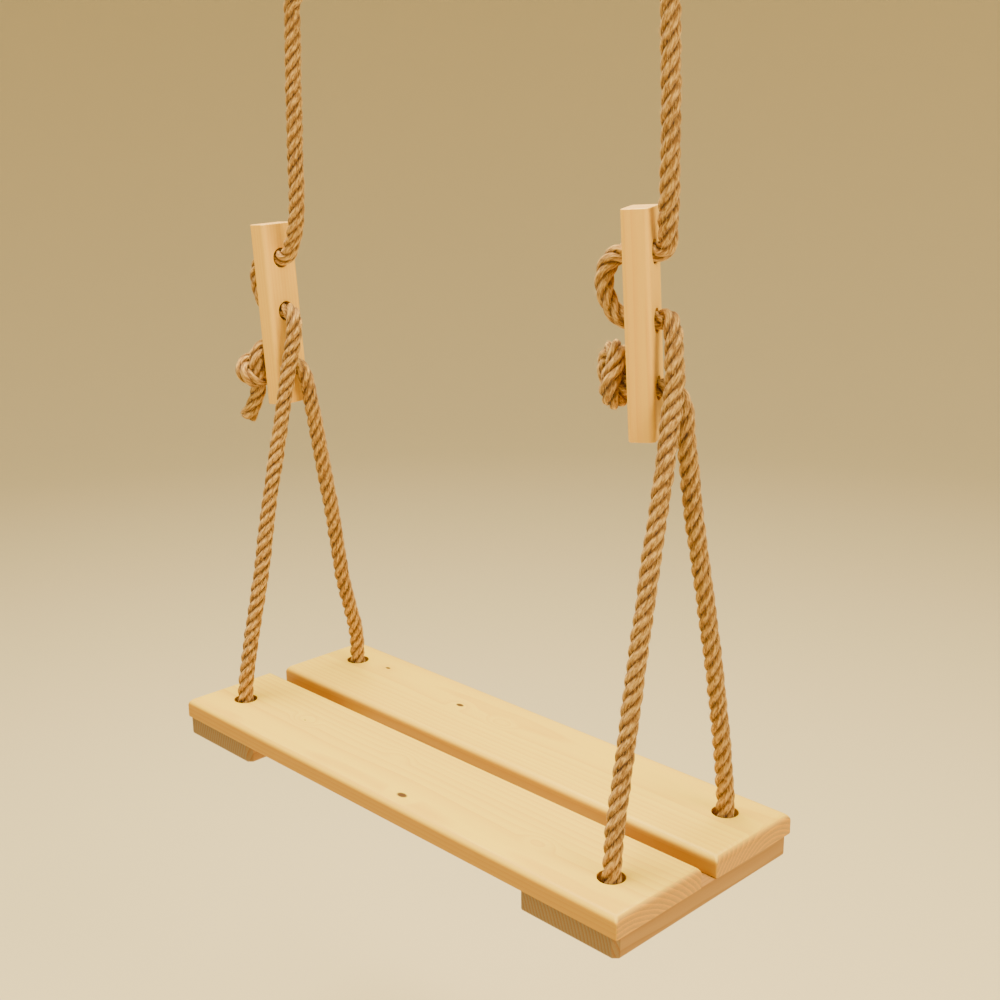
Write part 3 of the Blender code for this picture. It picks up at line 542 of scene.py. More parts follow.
def make_ropes(side):
    """A side's one rope, in two lengths that meet inside the adjuster's middle hole."""
    seed = 3 if side == "left" else 11
    hanging, line = laid_rope(side + "_hanging_rope", smooth(hanging_route(side)), ROPE,
                              fibres_per_metre=1500, wobble=0.5 * MM, seed=seed)
    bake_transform(hanging)
    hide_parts(side + "_eye_rope", side + "_upper_rope", side + "_back_loop")

    route = np.concatenate([smooth(seat_route(side)), knot_route(side)])
    slung, line = laid_rope(side + "_seat_rope", route, ROPE, fibres_per_metre=1500, wobble=0.5 * MM,
                            seed=seed + 20, loose_end=True)
    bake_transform(slung)
    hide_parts(side + "_front_strand", side + "_under_seat_rope", side + "_rear_strand",
                side + "_stopper_knot", side + "_knot_tail")


for side in SIDES:
    make_ropes(side)


# ---------------------------------------------------------------- planed pine


def pine(name, light, dark, end_light, grain, pith, ring_width, contrast, knots=(), turn=None, wander=3 * MM,
         edge=None):
    """Pine, saw-cut, planed and left bare: satin, with growth rings round a pith that lies outside the board, fine
    darker late wood, hair-thin fibres, darker end grain, and small dark knots that the rings bend round.
    The grain runs along that world axis, or along the turn's own X. Where an edge colour is given, the upright
    side faces are multiplied by it: painted shade, for the light from above that falls on them less."""
    made, tree, shader = new_material(name, 0.5, ior=1.45)
    place = add(tree, "TexCoord", out="Object")
    normal = add(tree, "TexCoord", out="Normal")
    rotation = (turn or Vector((1, 0, 0)).rotation_difference(Vector(grain)).to_matrix()).to_euler()
    local = add(tree, "Mapping", [("Vector", place), ("Location", pith), ("Rotation", rotation)],
                vector_type="TEXTURE")
    # The rings wander a few millimetres over a length of about 150 mm
    slow = add(tree, "Mapping", [("Vector", local), ("Scale", (5.0, 22.0, 22.0))])
    drift = add(tree, "TexNoise", [("Vector", slow), ("Scale", 1.0), ("Detail", 2.0), ("Roughness", 0.45)])
    cross = add(tree, "VectorMath", [(0, local), (1, (0.0, 1.0, 1.0))], operation="MULTIPLY")
    radius = add(tree, "VectorMath", [(0, cross)], out="Value", operation="LENGTH")
    radius = add(tree, "Math", [(0, drift), (1, 2 * wander), (2, radius)], operation="MULTIPLY_ADD")
    spots = None
    for x, y, size, push in knots:
        away = add(tree, "VectorMath", [(0, place), (1, (x, y, 0.0))], operation="SUBTRACT")
        away = add(tree, "VectorMath", [(0, away), (1, (0.62, 1.0, 0.0))], operation="MULTIPLY")
        away = add(tree, "VectorMath", [(0, away)], out="Value", operation="LENGTH")
        bulge = add(tree, "MapRange", [("Value", away), ("From Min", 0.0), ("From Max", 16 * MM), ("To Min", push),
                                       ("To Max", 0.0)], interpolation_type="SMOOTHERSTEP")
        radius = add(tree, "Math", [(0, radius), (1, bulge)], operation="ADD")
        spot = add(tree, "MapRange", [("Value", away), ("From Min", 0.55 * size), ("From Max", size),
                                      ("To Min", 1.0), ("To Max", 0.0)], interpolation_type="SMOOTHSTEP")
        spots = spot if spots is None else add(tree, "Math", [(0, spots), (1, spot)], operation="MAXIMUM")
    ring = add(tree, "Math", [(0, radius), (1, 1 / ring_width)], operation="MULTIPLY")
    ring = add(tree, "Math", [(0, ring)], operation="FRACT")
    late = add(tree, "ValToRGB", [("Fac", ring)],
               stops=[(0.0, 0.0), (0.35, 0.08), (0.78, 0.62), (0.9, 1.0), (1.0, 0.0)])
    hair = add(tree, "Mapping", [("Vector", local), ("Scale", (28.0, 1600.0, 1600.0))])
    fibre = add(tree, "TexNoise", [("Vector", hair), ("Scale", 1.0), ("Detail", 3.0), ("Roughness", 0.6)])
    band = add(tree, "Mapping", [("Vector", local), ("Scale", (3.0, 60.0, 60.0))])
    tone = add(tree, "TexNoise", [("Vector", band), ("Scale", 1.0), ("Detail", 2.0)])
    share = add(tree, "Math", [(0, late), (1, contrast)], operation="MULTIPLY")
    share = add(tree, "Math", [(0, fibre), (1, 0.30), (2, share)], operation="MULTIPLY_ADD")
    share = add(tree, "Math", [(0, tone), (1, 0.42), (2, share)], operation="MULTIPLY_ADD")
    share = add(tree, "Math", [(0, share), (1, 0.26)], operation="SUBTRACT", use_clamp=True)
    colour = add(tree, "Mix", [(0, share), (6, linear(light)), (7, linear(dark))], out=2, data_type="RGBA")
    along = add(tree, "VectorMath", [(0, normal), (1, tuple(grain))], out="Value", operation="DOT_PRODUCT")
    along = add(tree, "Math", [(0, along)], operation="ABSOLUTE")
    end = add(tree, "MapRange", [("Value", along), ("From Min", 0.35), ("From Max", 0.9)],
              interpolation_type="SMOOTHSTEP")
    grit = add(tree, "TexNoise", [("Vector", place), ("Scale", 1500.0), ("Detail", 2.0)])
    late_end = add(tree, "Math", [(0, late), (1, 0.6), (2, grit)], operation="MULTIPLY_ADD")
    end_colour = add(tree, "ValToRGB", [("Fac", late_end)], stops=[(0.3, end_light), (1.3, dark)])
    colour = add(tree, "Mix", [(0, end), (6, colour), (7, end_colour)], out=2, data_type="RGBA")
    # Painted shade: upright side faces, but not the end grain, are multiplied by the edge colour, as less light
    # falls on them than on the tops
    if edge:
        flat = add(tree, "VectorMath", [(0, normal), (1, tuple(UP))], out="Value", operation="DOT_PRODUCT")
        flat = add(tree, "Math", [(0, flat)], operation="ABSOLUTE")
        painted_side_shade = add(tree, "MapRange", [("Value", flat), ("From Min", 0.75), ("From Max", 0.2)],
                   interpolation_type="SMOOTHSTEP")
        painted_side_shade = add(tree, "Math", [(0, painted_side_shade), (1, end)], operation="SUBTRACT", use_clamp=True)
        colour = add(tree, "Mix", [(0, painted_side_shade), (6, colour), (7, linear(edge))], out=2, data_type="RGBA",
                     blend_type="MULTIPLY")
    if spots is not None:
        colour = add(tree, "Mix", [(0, spots), (6, colour), (7, linear("#5A3A1C"))], out=2, data_type="RGBA")
    tree.links.new(colour, shader.inputs["Base Color"])
    sheen = add(tree, "MapRange", [("Value", share), ("To Min", 0.46), ("To Max", 0.6)])
    tree.links.new(sheen, shader.inputs["Roughness"])
    relief = add(tree, "Math", [(0, fibre), (1, 0.6), (2, share)], operation="MULTIPLY_ADD")
    bump = add(tree, "Bump", [("Height", relief), ("Strength", 0.35), ("Distance", 0.12 * MM)])
    tree.links.new(bump, shader.inputs["Normal"])
    return made


def box_mesh(low, high):
    """A box as a bmesh, from its lowest and highest corners."""
    shape = bmesh.new()
    bmesh.ops.create_cube(shape, size=1.0)
    bmesh.ops.scale(shape, vec=high - low, verts=shape.verts)
    bmesh.ops.translate(shape, vec=(low + high) / 2, verts=shape.verts)
    return shape


def round_edges(shape, chosen, radius, segments):
    """Rounds the edges that the test picks."""
    edges = [edge for edge in shape.edges if chosen(edge)]
    bmesh.ops.bevel(shape, geom=edges, offset=radius, segments=segments, profile=0.5, affect="EDGES", material=-1,
                    clamp_overlap=False)


def upright(edge):
    """Whether an edge runs up, or up and inward as the mitre of two rounded edges does."""
    way = edge.verts[0].co - edge.verts[1].co
    faces = edge.link_faces
    turned = len(faces) == 2 and faces[0].normal.dot(faces[1].normal) < 0.75
    return turned and (abs(way.z) > 0.99 * way.length or min(abs(way.x), abs(way.y)) > 0.2 * way.length)


def at_height(edge, height):
    """Whether an edge lies in that level plane."""
    return all(abs(corner.co.z - height) < 1e-6 for corner in edge.verts)


def turned(profile, start=(0, 0, 0), end=(0, 0, 1), steps=48):
    """A solid turned from (radius, distance) points, about the line that runs from the start towards the end. The
    profile is a ring where it starts off that line."""
    shape = bmesh.new()
    corners = [shape.verts.new((r, 0, z)) for r, z in profile]
    closed = profile[0][0] > 0
    for first, second in zip(corners, corners[1:] + corners[:1] if closed else corners[1:]):
        shape.edges.new((first, second))
    bmesh.ops.spin(shape, geom=shape.verts[:] + shape.edges[:], axis=UP, cent=(0, 0, 0), angle=math.tau,
                   steps=steps, use_merge=True)
    bmesh.ops.remove_doubles(shape, verts=shape.verts, dist=0.001 * MM)
    bmesh.ops.recalc_face_normals(shape, faces=shape.faces)
    turn = UP.rotation_difference(Vector(end) - Vector(start)).to_matrix().to_4x4()
    bmesh.ops.transform(shape, matrix=Matrix.Translation(start) @ turn, verts=shape.verts)
    return shape


def cut_or_joined(name, shape, finish, cut=(), joined=()):
    """The piece with the shapes that are cut out of it and joined to it."""
    bmesh.ops.recalc_face_normals(shape, faces=shape.faces)
    mesh = bpy.data.meshes.new(name)
    shape.to_mesh(mesh)
    shape.free()
    piece = show(name, mesh, finish)
    tools = []
    for tool, operation in [(tool, "UNION") for tool in joined] + [(tool, "DIFFERENCE") for tool in cut]:
        bmesh.ops.recalc_face_normals(tool, faces=tool.faces)
        cutter = bpy.data.meshes.new("tool")
        tool.to_mesh(cutter)
        tool.free()
        tools.append(bpy.data.objects.new("tool", cutter))
        bpy.context.scene.collection.objects.link(tools[-1])
        modifier = piece.modifiers.new("tool", "BOOLEAN")
        modifier.operation = operation
        modifier.solver = "EXACT"
        modifier.object = tools[-1]
    applied(piece)
    for tool in tools:
        bpy.data.objects.remove(tool)
    return crisp(piece)


def bored(name, shape, holes, finish, joined=()):
    """The piece with its holes cut: each hole is (start, end, radius, rim), with its two rims rounded over."""
    tools = []
    for start, end, radius, rim in holes:
        depth = (end - start).length
        profile = [(0, -4 * MM), (radius + rim, -4 * MM)]
        for n in range(5):
            angle = math.radians(90 * n / 4)
            profile.append((radius + rim * (1 - math.sin(angle)), rim * (1 - math.cos(angle))))
        profile += [(r, depth - z) for r, z in reversed(profile)]
        tools.append(turned(profile, start, end, steps=40))
    return cut_or_joined(name, shape, finish, cut=tools, joined=joined)


def applied(piece):
    """Applies a piece's modifiers to its mesh."""
    bpy.context.view_layer.update()
    done = bpy.data.meshes.new_from_object(piece.evaluated_get(bpy.context.evaluated_depsgraph_get()))
    piece.modifiers.clear()
    piece.data = done
    return piece


def crisp(piece, angle=32):
    """Smooth shading with sharp edges kept, and flat faces left flat next to rounded ones."""
    piece.data.shade_smooth()
    piece.data.set_sharp_from_angle(angle=math.radians(angle))
    flat = piece.modifiers.new("flat faces", "WEIGHTED_NORMAL")
    flat.keep_sharp = True
    return piece


def placed(piece, node, body):
    """Puts a new piece in the place of its plain solid."""
    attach(piece, body)
    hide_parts(node)


# Pith places are to one side of each board, so that its faces show long tilted rings
# The edge colour is painted shade on the planks' upright sides
PLANK_PINE = {
    "front": pine("pine_planed_front_plank", "#FBD83A", "#DFA226", "#A8834A", (1, 0, 0), (0.0, -0.105, -0.86),
                  4.2 * MM, 0.34, knots=[(0.0226, -0.0987, 4.2 * MM, 2 * MM), (-0.1573, -0.0642, 0.9 * MM, 9 * MM),
                                         (-0.033, -0.050, 0.1 * MM, -5 * MM), (0.160, -0.074, 0.1 * MM, -6 * MM)],
                  edge="#CDB48C"),
    "rear": pine("pine_planed_rear_plank", "#FBD83A", "#DFA226", "#A8834A", (1, 0, 0), (0.0, 0.075, -0.835),
                 4.2 * MM, 0.30, knots=[(-0.1987, 0.0735, 2.4 * MM, 3 * MM), (-0.0772, 0.0615, 3.4 * MM, 4 * MM),
                                        (-0.02, 0.060, 0.1 * MM, -7 * MM)],
                 edge="#CDB48C"),
}
# Painted shade: the battens' pine is darker than the planks', for the weaker light that reaches them
BATTEN_PINE_PAINTED_SHADE = pine("pine_planed_batten_painted_shade", "#B08440", "#86561E", "#867A56", (0, 1, 0), (0.0, 0.0, -0.875),
                   3.4 * MM, 0.4)
# Painted light: the adjusters' pine, their end grain too, is paler than the planks', for the stronger light that
# falls on them higher up
ADJUSTER_PINE_PAINTED_LIGHT = {side: pine(f"pine_planed_{side}_adjuster", "#FFD052", "#E89E38", "#FBE39A", (0, 0, 1),
                            HUNG[side]["middle"] + Vector((0.03, -0.035, 0.0)), 3.2 * MM, 0.25,
                            turn=adjuster_turn(side) @ Matrix.Rotation(math.radians(-90), 3, "Y"), wander=1.5 * MM)
                 for side in SIDES}


PLANK_ROUNDED = 6.5 * MM
PLANK_CORNER = 2 * MM
PLANK_EASED = 0.7 * MM
BATTEN_CORNER = 4.5 * MM
BATTEN_ROUNDED = 3.5 * MM
BATTEN_EASED = 0.4 * MM
ADJUSTER_WIDTH = 36 * MM
ADJUSTER_LENGTH = 170 * MM
ADJUSTER_ROUNDED = 4 * MM
ADJUSTER_EASED = 0.8 * MM
ADJUSTER_HOLE_RADIUS = 9 * MM
SINK_RADIUS = 4.4 * MM
SINK_DEPTH = 3 * MM


def make_plank(row):
    """A seat plank: round top edges, softened corners, eased lower edges and two rope holes."""
    low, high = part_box(row + "_plank")
    shape = box_mesh(low, high)
    round_edges(shape, lambda edge: at_height(edge, high.z), PLANK_ROUNDED, 8)
    shape.normal_update()
    round_edges(shape, upright, PLANK_CORNER, 4)
    round_edges(shape, lambda edge: at_height(edge, low.z), PLANK_EASED, 2)
    holes = []
    for side in SIDES:
        top = seat_hole(side, row)
        holes.append((top, Vector((top.x, top.y, low.z)), SEAT_HOLE_DIAMETER / 2, 0.8 * MM))
    placed(bored(row + "_plank_planed", shape, holes, PLANK_PINE[row]), row + "_plank", "seat")


def make_batten(side):
    """A cross batten: cut corners, a rounded lower edge, rope holes and countersunk screw holes."""
    low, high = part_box(side + "_batten")
    shape = box_mesh(low, high)
    round_edges(shape, lambda edge: abs((edge.verts[0].co - edge.verts[1].co).z) > 1 * MM, BATTEN_CORNER, 1)
    round_edges(shape, lambda edge: at_height(edge, low.z), BATTEN_ROUNDED, 5)
    round_edges(shape, lambda edge: at_height(edge, high.z), BATTEN_EASED, 2)
    holes = []
    for row in ROWS:
        top = seat_hole(side, row)
        top, bottom = (Vector((top.x, top.y, z)) for z in (high.z, low.z))
        holes.append((top, bottom, SEAT_HOLE_DIAMETER / 2, 0.6 * MM))
        for number in (1, 2):
            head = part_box(f"{side}_{row}_screw_{number}")
            middle = (head[0] + head[1]) / 2
            face = Vector((middle.x, middle.y, low.z))
            holes.append((face, face + SINK_DEPTH * UP, SINK_RADIUS, 0.2 * MM))
    placed(bored(side + "_batten_planed", shape, holes, BATTEN_PINE_PAINTED_SHADE), side + "_batten", "seat")


def make_adjuster(side):
    """A length adjuster: a flat stick with rounded long edges and three holes in a row."""
    half = Vector((ADJUSTER_THICKNESS, ADJUSTER_WIDTH, ADJUSTER_LENGTH)) / 2
    shape = box_mesh(-half, half)
    round_edges(shape, lambda edge: abs((edge.verts[0].co - edge.verts[1].co).z) > 1 * MM, ADJUSTER_ROUNDED, 7)
    round_edges(shape, lambda edge: at_height(edge, half.z) or at_height(edge, -half.z), ADJUSTER_EASED, 3)
    place = Matrix.Translation(HUNG[side]["middle"]) @ adjuster_turn(side).to_4x4()
    bmesh.ops.transform(shape, matrix=place, verts=shape.verts)
    holes = [(adjuster_hole(side, n, FACE), adjuster_hole(side, n, -FACE), ADJUSTER_HOLE_RADIUS, 0.7 * MM)
             for n in range(len(ADJUSTER_HOLES))]
    block = bored(side + "_adjuster_planed", shape, holes, ADJUSTER_PINE_PAINTED_LIGHT[side])
    placed(block, side + "_adjuster", "adjusters")


for row in ROWS:
    make_plank(row)
for side in SIDES:
    make_batten(side)
    make_adjuster(side)


# ---------------------------------------------------------------- steel


def zinc(name, tone, bright, rough):
    """Steel, zinc plated: a soft grey metal with a faint crystal mottle and fine scuffs."""
    made, tree, shader = new_material(name, rough, metallic=1.0)
    place = add(tree, "TexCoord", out="Object")
    mottle = add(tree, "TexVoronoi", [("Vector", place), ("Scale", 520.0)], out="Color")
    mottle = add(tree, "SeparateColor", [(0, mottle)])
    cloud = add(tree, "TexNoise", [("Vector", place), ("Scale", 240.0), ("Detail", 4.0)])
    share = add(tree, "Math", [(0, mottle), (1, 0.35), (2, cloud)], operation="MULTIPLY_ADD")
    colour = add(tree, "ValToRGB", [("Fac", share)], stops=[(0.35, tone), (0.85, bright)])
    tree.links.new(colour, shader.inputs["Base Color"])
    rub = add(tree, "MapRange", [("Value", share), ("From Min", 0.3), ("From Max", 0.9), ("To Min", rough - 0.08),
                                 ("To Max", rough + 0.12)])
    tree.links.new(rub, shader.inputs["Roughness"])
    bump = add(tree, "Bump", [("Height", cloud), ("Strength", 0.2), ("Distance", 0.05 * MM)])
    tree.links.new(bump, shader.inputs["Normal"])
    return made


ZINC = zinc("steel_zinc_plated", "#A9ABAD", "#D2D4D4", 0.34)
ZINC_YELLOW = zinc("steel_zinc_plated_yellow", "#B69A5A", "#D9C48A", 0.32)


def thread(radius, depth, start, end, pitch):
    """The (radius, distance) points of a thread's ridges between two places along its screw."""
    points = []
    for n in range(int((end - start) / pitch)):
        at = start + n * pitch
        points += [(radius - depth, at), (radius - depth, at + 0.35 * pitch), (radius, at + 0.5 * pitch),
                   (radius, at + 0.6 * pitch), (radius - depth, at + 0.9 * pitch)]
    return points


def hexagon(across, height, start, way, bevelled):
    """A hexagon head or nut: its flats that far apart, and the rims that are named bevelled."""
    shape = bmesh.new()
    bmesh.ops.create_cone(shape, cap_ends=True, segments=6, radius1=across / math.sqrt(3),
                          radius2=across / math.sqrt(3), depth=height)
    bmesh.ops.translate(shape, vec=(0, 0, height / 2), verts=shape.verts)
    for level in bevelled:
        round_edges(shape, lambda edge: at_height(edge, level), 0.9 * MM, 3)
    turn = UP.rotation_difference(way).to_matrix().to_4x4()
    bmesh.ops.transform(shape, matrix=Matrix.Translation(start) @ turn, verts=shape.verts)
    return shape


PLATE_THICKNESS = 5 * MM
LUG_INSIDE = 10.3 * MM
LUG_OUTSIDE = 14.3 * MM
LUG_WIDTH = 28 * MM
PLATE_CORNER = 5 * MM
STEEL_EASED = 0.6 * MM
WELD_RADIUS = 1.9 * MM
WELD_LENGTH = 25 * MM
STEEL_HOLE_RIM = 0.3 * MM
BOLT_RADIUS = 4 * MM
BOLT_ACROSS = 13 * MM
BOLT_HEAD = 5.5 * MM
BOLT_PITCH = 1.25 * MM
BOLT_THREAD = 0.55 * MM
PLATE_SCREW_RADIUS = 3 * MM
PLATE_SCREW_ACROSS = 10 * MM
PLATE_SCREW_HEAD = 4 * MM
PLATE_SCREW_PLAIN = 14 * MM
SCREW_POINT = 6 * MM
SEAT_SCREW_RADIUS = 2 * MM
SEAT_SCREW_HEAD_RADIUS = 4.2 * MM
SEAT_SCREW_HEAD = 2.6 * MM
RECESS_REACH = 2.3 * MM
RECESS_HALF_WIDTH = 0.45 * MM
RECESS_DEPTH = 1.6 * MM
THIMBLE_GROOVE_GAP = 0.8 * MM
TWINE_LAY = 6 * MM


def make_bracket(side):
    """A ceiling bracket: a plate with two round-ended lugs welded under it."""
    low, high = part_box(side + "_ceiling_bracket")
    pivot = PIVOT[side]
    plate = box_mesh(Vector((low.x, low.y, high.z - PLATE_THICKNESS)), high)
    round_edges(plate, lambda edge: not at_height(edge, high.z) and not at_height(edge, high.z - PLATE_THICKNESS),
                PLATE_CORNER, 6)
    round_edges(plate, lambda edge: at_height(edge, high.z - PLATE_THICKNESS), STEEL_EASED, 3)
    joined = []
    holes = []
    for way in (-1, 1):
        ends = sorted((pivot.x + way * LUG_INSIDE, pivot.x + way * LUG_OUTSIDE))
        lug = box_mesh(Vector((ends[0], -LUG_WIDTH / 2, pivot.z - LUG_WIDTH / 2)),
                       Vector((ends[1], LUG_WIDTH / 2, high.z - PLATE_THICKNESS / 2)))
        round_edges(lug, lambda edge: at_height(edge, pivot.z - LUG_WIDTH / 2)
                    and abs((edge.verts[0].co - edge.verts[1].co).x) > 1 * MM, LUG_WIDTH / 2 - 0.01 * MM, 16)
        joined.append(lug)
        root = Vector((pivot.x + way * LUG_OUTSIDE, 0, high.z - PLATE_THICKNESS))
        bead = [(0, -WELD_LENGTH / 2), (WELD_RADIUS - 0.3 * MM, 0.5 * MM - WELD_LENGTH / 2), (WELD_RADIUS, 0)]
        bead += [(radius, -along) for radius, along in reversed(bead[:2])]
        joined.append(turned(bead, root, root + Vector((0, 1, 0)), steps=16))
        holes.append((Vector((pivot.x + way * LUG_OUTSIDE, 0, pivot.z)),
                      Vector((pivot.x + way * LUG_INSIDE, 0, pivot.z)), BOLT_RADIUS + GAP, STEEL_HOLE_RIM))
    for word in ("left", "right"):
        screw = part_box(f"{side}_plate_screw_{word}")
        x = (screw[0].x + screw[1].x) / 2
        holes.append((Vector((x, 0, high.z - PLATE_THICKNESS)), Vector((x, 0, high.z)), PLATE_SCREW_RADIUS + GAP,
                      STEEL_HOLE_RIM))
    bracket = bored(side + "_bracket_welded", plate, holes, ZINC, joined)
    placed(bracket, side + "_ceiling_bracket", "ceiling")


def make_pivot(side):
    """The pivot bolt with its hexagon head and threaded end, and its nut."""
    low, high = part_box(side + "_pivot_bolt")
    nut_low, nut_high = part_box(side + "_pivot_nut")
    axis = Vector((1, 0, 0))
    z = PIVOT[side].z
    head = hexagon(BOLT_ACROSS, BOLT_HEAD, Vector((low.x, 0, z)), axis, [0])
    length = high.x - low.x
    shank = [(0, BOLT_HEAD / 2), (BOLT_RADIUS, BOLT_HEAD / 2)]
    shank += thread(BOLT_RADIUS, BOLT_THREAD, nut_low.x - low.x - 1 * MM, length - 1 * MM, BOLT_PITCH)
    shank += [(BOLT_RADIUS - 0.9 * MM, length), (0, length)]
    rod = turned(shank, (low.x, 0, z), (high.x, 0, z))
    bolt = cut_or_joined(side + "_bolt_threaded", head, ZINC, joined=[rod])
    placed(bolt, side + "_pivot_bolt", "ceiling")
    height = nut_high.x - nut_low.x
    ring = hexagon(BOLT_ACROSS, height, Vector((nut_low.x, 0, z)), axis, [0, height])
    holes = [(Vector((nut_high.x, 0, z)), Vector((nut_low.x, 0, z)), BOLT_RADIUS + 0.1 * MM, 0.5 * MM)]
    nut = bored(side + "_nut_bored", ring, holes, ZINC)
    placed(nut, side + "_pivot_nut", "ceiling")


def make_plate_screw(side, word):
    """A hexagon-headed wood screw, point up, with a coarse thread."""
    node = f"{side}_plate_screw_{word}"
    low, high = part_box(node)
    x = (low.x + high.x) / 2
    head = hexagon(PLATE_SCREW_ACROSS, PLATE_SCREW_HEAD, Vector((x, 0, low.z)), UP, [0])
    length = high.z - low.z
    shank = [(0, PLATE_SCREW_HEAD / 2), (PLATE_SCREW_RADIUS, PLATE_SCREW_HEAD / 2),
             (PLATE_SCREW_RADIUS, PLATE_SCREW_PLAIN)]
    shank += thread(PLATE_SCREW_RADIUS, 0.8 * MM, PLATE_SCREW_PLAIN + 1 * MM, length - SCREW_POINT, 2.6 * MM)
    shank += [(PLATE_SCREW_RADIUS - 1 * MM, length - SCREW_POINT), (0, length)]
    rod = turned(shank, (x, 0, low.z), (x, 0, high.z), 24)
    screw = cut_or_joined(node + "_threaded", head, ZINC, joined=[rod])
    placed(screw, node, "ceiling")


def make_seat_screw(node):
    """A countersunk wood screw, head down, with a cross recess."""
    low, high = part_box(node)
    x, y = (low.x + high.x) / 2, (low.y + high.y) / 2
    length = high.z - low.z
    profile = [(0, 0), (SEAT_SCREW_HEAD_RADIUS - 0.1 * MM, 0), (SEAT_SCREW_HEAD_RADIUS, 0.3 * MM),
               (SEAT_SCREW_RADIUS, SEAT_SCREW_HEAD)]
    profile += [(SEAT_SCREW_RADIUS - 0.5 * MM, 3.2 * MM)]
    profile += thread(SEAT_SCREW_RADIUS, 0.5 * MM, 5 * MM, length - SCREW_POINT, 2 * MM)
    profile += [(SEAT_SCREW_RADIUS - 0.6 * MM, length - SCREW_POINT), (0, length)]
    arms = []
    for size in ((RECESS_REACH, RECESS_HALF_WIDTH), (RECESS_HALF_WIDTH, RECESS_REACH)):
        reach = Vector((*size, RECESS_DEPTH))
        middle = Vector((x, y, low.z))
        arms.append(box_mesh(middle - reach, middle + reach))
    rod = turned(profile, (x, y, low.z), (x, y, high.z), 24)
    screw = cut_or_joined(node + "_recessed", rod, ZINC_YELLOW, cut=arms)
    placed(screw, node, "seat")


def make_thimble(side):
    """A solid grooved wheel, turned from steel, with its rims eased."""
    low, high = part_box(side + "_thimble")
    pivot = PIVOT[side]
    half = (high.x - low.x) / 2
    rim = (high.y - low.y) / 2
    groove = ROPE_RADIUS + THIMBLE_GROOVE_GAP
    profile = [(BOLT_RADIUS + GAP, half - 0.5 * MM), (BOLT_RADIUS + GAP + 0.5 * MM, half), (rim - 2 * MM, half),
               (rim - 0.8 * MM, half - 0.12 * MM), (rim, half - 0.6 * MM)]
    reach = math.acos((EYE_RADIUS - rim) / groove)
    for n in range(1, 24):
        angle = reach - 2 * reach * n / 24
        profile.append((EYE_RADIUS - groove * math.cos(angle), groove * math.sin(angle)))
    profile += [(r, -z) for r, z in reversed(profile[:5])]
    wheel = turned(profile, pivot, pivot + Vector((1, 0, 0)), steps=72)
    placed(cut_or_joined(side + "_thimble_turned", wheel, ZINC), side + "_thimble", "ropes")


def make_seizing(side):
    """The twine that binds the eye: turns laid side by side round both of its legs."""
    low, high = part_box(side + "_eye_seizing")
    pivot = PIVOT[side]
    radius = (high.x - low.x) / 2 - TWINE_DIAMETER / 2
    leg = (high.y - low.y - (high.x - low.x)) / 2
    turns = round((high.z - low.z) / TWINE_DIAMETER) - 1
    steps = 40
    line = []
    for n in range(turns * steps + 1):
        angle = math.tau * n / steps
        y = leg * max(-1, min(1, 1.4 * math.sin(angle))) + radius * math.sin(angle)
        z = high.z - TWINE_DIAMETER / 2 - n / steps * TWINE_DIAMETER
        line.append((pivot.x + radius * math.cos(angle), y, z))
    seizing, _ = laid_rope(side + "_seizing_twine", np.array(line), TWINE, diameter=TWINE_DIAMETER, lay=TWINE_LAY,
                           strands=2, strand_sides=6, step=0.7 * MM, yarns=1, yarn_depth=0.0,
                           fibres_per_metre=300, seed=31)
    placed(seizing, side + "_eye_seizing", "ropes")


for side in SIDES:
    make_bracket(side)
    make_pivot(side)
    for word in ("left", "right"):
        make_plate_screw(side, word)
    make_thimble(side)
    make_seizing(side)
    for row in ROWS:
        for number in (1, 2):
            make_seat_screw(f"{side}_{row}_screw_{number}")


# ---------------------------------------------------------------- floor and light

FLOOR_BELOW = 0.45
FLOOR_RADIUS = 3.2
WALL_RADIUS = 2.4
WALL_TOP = 3.0


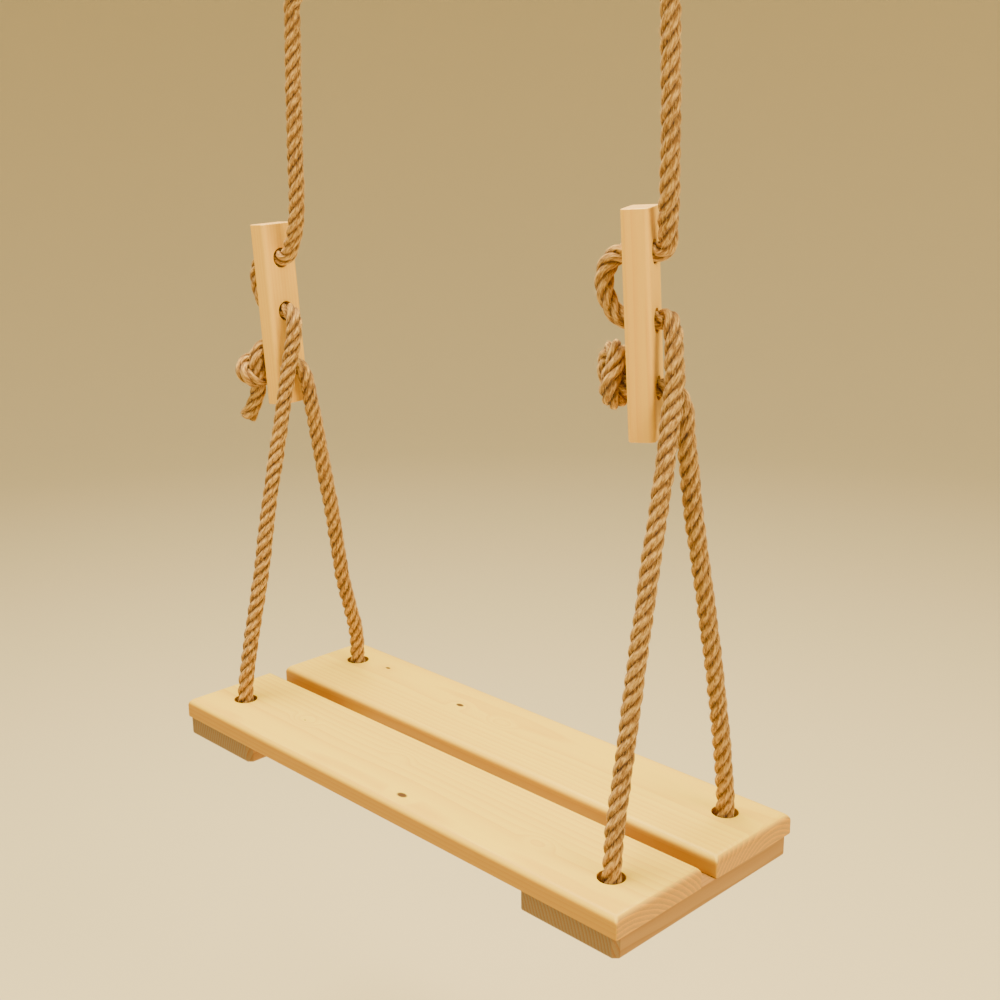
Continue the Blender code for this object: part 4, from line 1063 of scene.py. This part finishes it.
def make_floor():
    """A plain pale floor below the seat, which curves up into a wall all round, far from the swing."""
    shape = bmesh.new()
    level = cad_box[0].z - FLOOR_BELOW
    profile = [(0, level), (FLOOR_RADIUS, level)]
    for n in range(1, 13):
        angle = math.radians(90 * n / 12)
        profile.append((FLOOR_RADIUS + WALL_RADIUS * math.sin(angle), level + WALL_RADIUS * (1 - math.cos(angle))))
    profile.append((FLOOR_RADIUS + WALL_RADIUS, level + WALL_RADIUS + WALL_TOP))
    corners = [shape.verts.new((r, 0, z)) for r, z in profile]
    for first, second in zip(corners, corners[1:]):
        shape.edges.new((first, second))
    bmesh.ops.spin(shape, geom=shape.verts[:] + shape.edges[:], axis=UP, cent=(0, 0, 0), angle=math.tau, steps=64,
                   use_merge=True)
    bmesh.ops.remove_doubles(shape, verts=shape.verts, dist=0.01 * MM)
    mesh = bpy.data.meshes.new("floor")
    shape.to_mesh(mesh)
    shape.free()
    mesh.shade_smooth()
    show("floor", mesh, new_material("painted_board_pale", 0.95, colour="#EBDDB2")[0])


def make_light(name, place, aim, size, power, colour):
    """A soft square light that points at a place."""
    data = bpy.data.lights.new(name, "AREA")
    data.size = size
    data.energy = power
    data.color = linear(colour)[:3]
    lamp = bpy.data.objects.new(name, data)
    bpy.context.scene.collection.objects.link(lamp)
    lamp.visible_camera = False
    place, aim = Vector(place), Vector(aim)
    turn = (place - aim).to_track_quat("Z", "Y").to_matrix().to_4x4()
    lamp.matrix_world = Matrix.Translation(place) @ turn


def make_world():
    """An even, warm, pale surrounding light."""
    world = bpy.data.worlds.new("studio")
    world.use_nodes = True
    sky = world.node_tree.nodes["Background"]
    sky.inputs["Color"].default_value = linear("#EADBB4")
    sky.inputs["Strength"].default_value = 0.42
    bpy.context.scene.world = world


make_floor()
make_world()
MIDDLE = (0, 0, -0.5)
make_light("top_light", (-0.25, -0.1, 1.6), MIDDLE, 1.1, 172, "#FFF0CC")
make_light("front_light", (0.3, -2.3, 0.4), MIDDLE, 1.2, 18, "#FFEBC8")
make_light("right_light", (2.2, 0.1, 0.7), MIDDLE, 1.2, 60, "#FFE9C4")
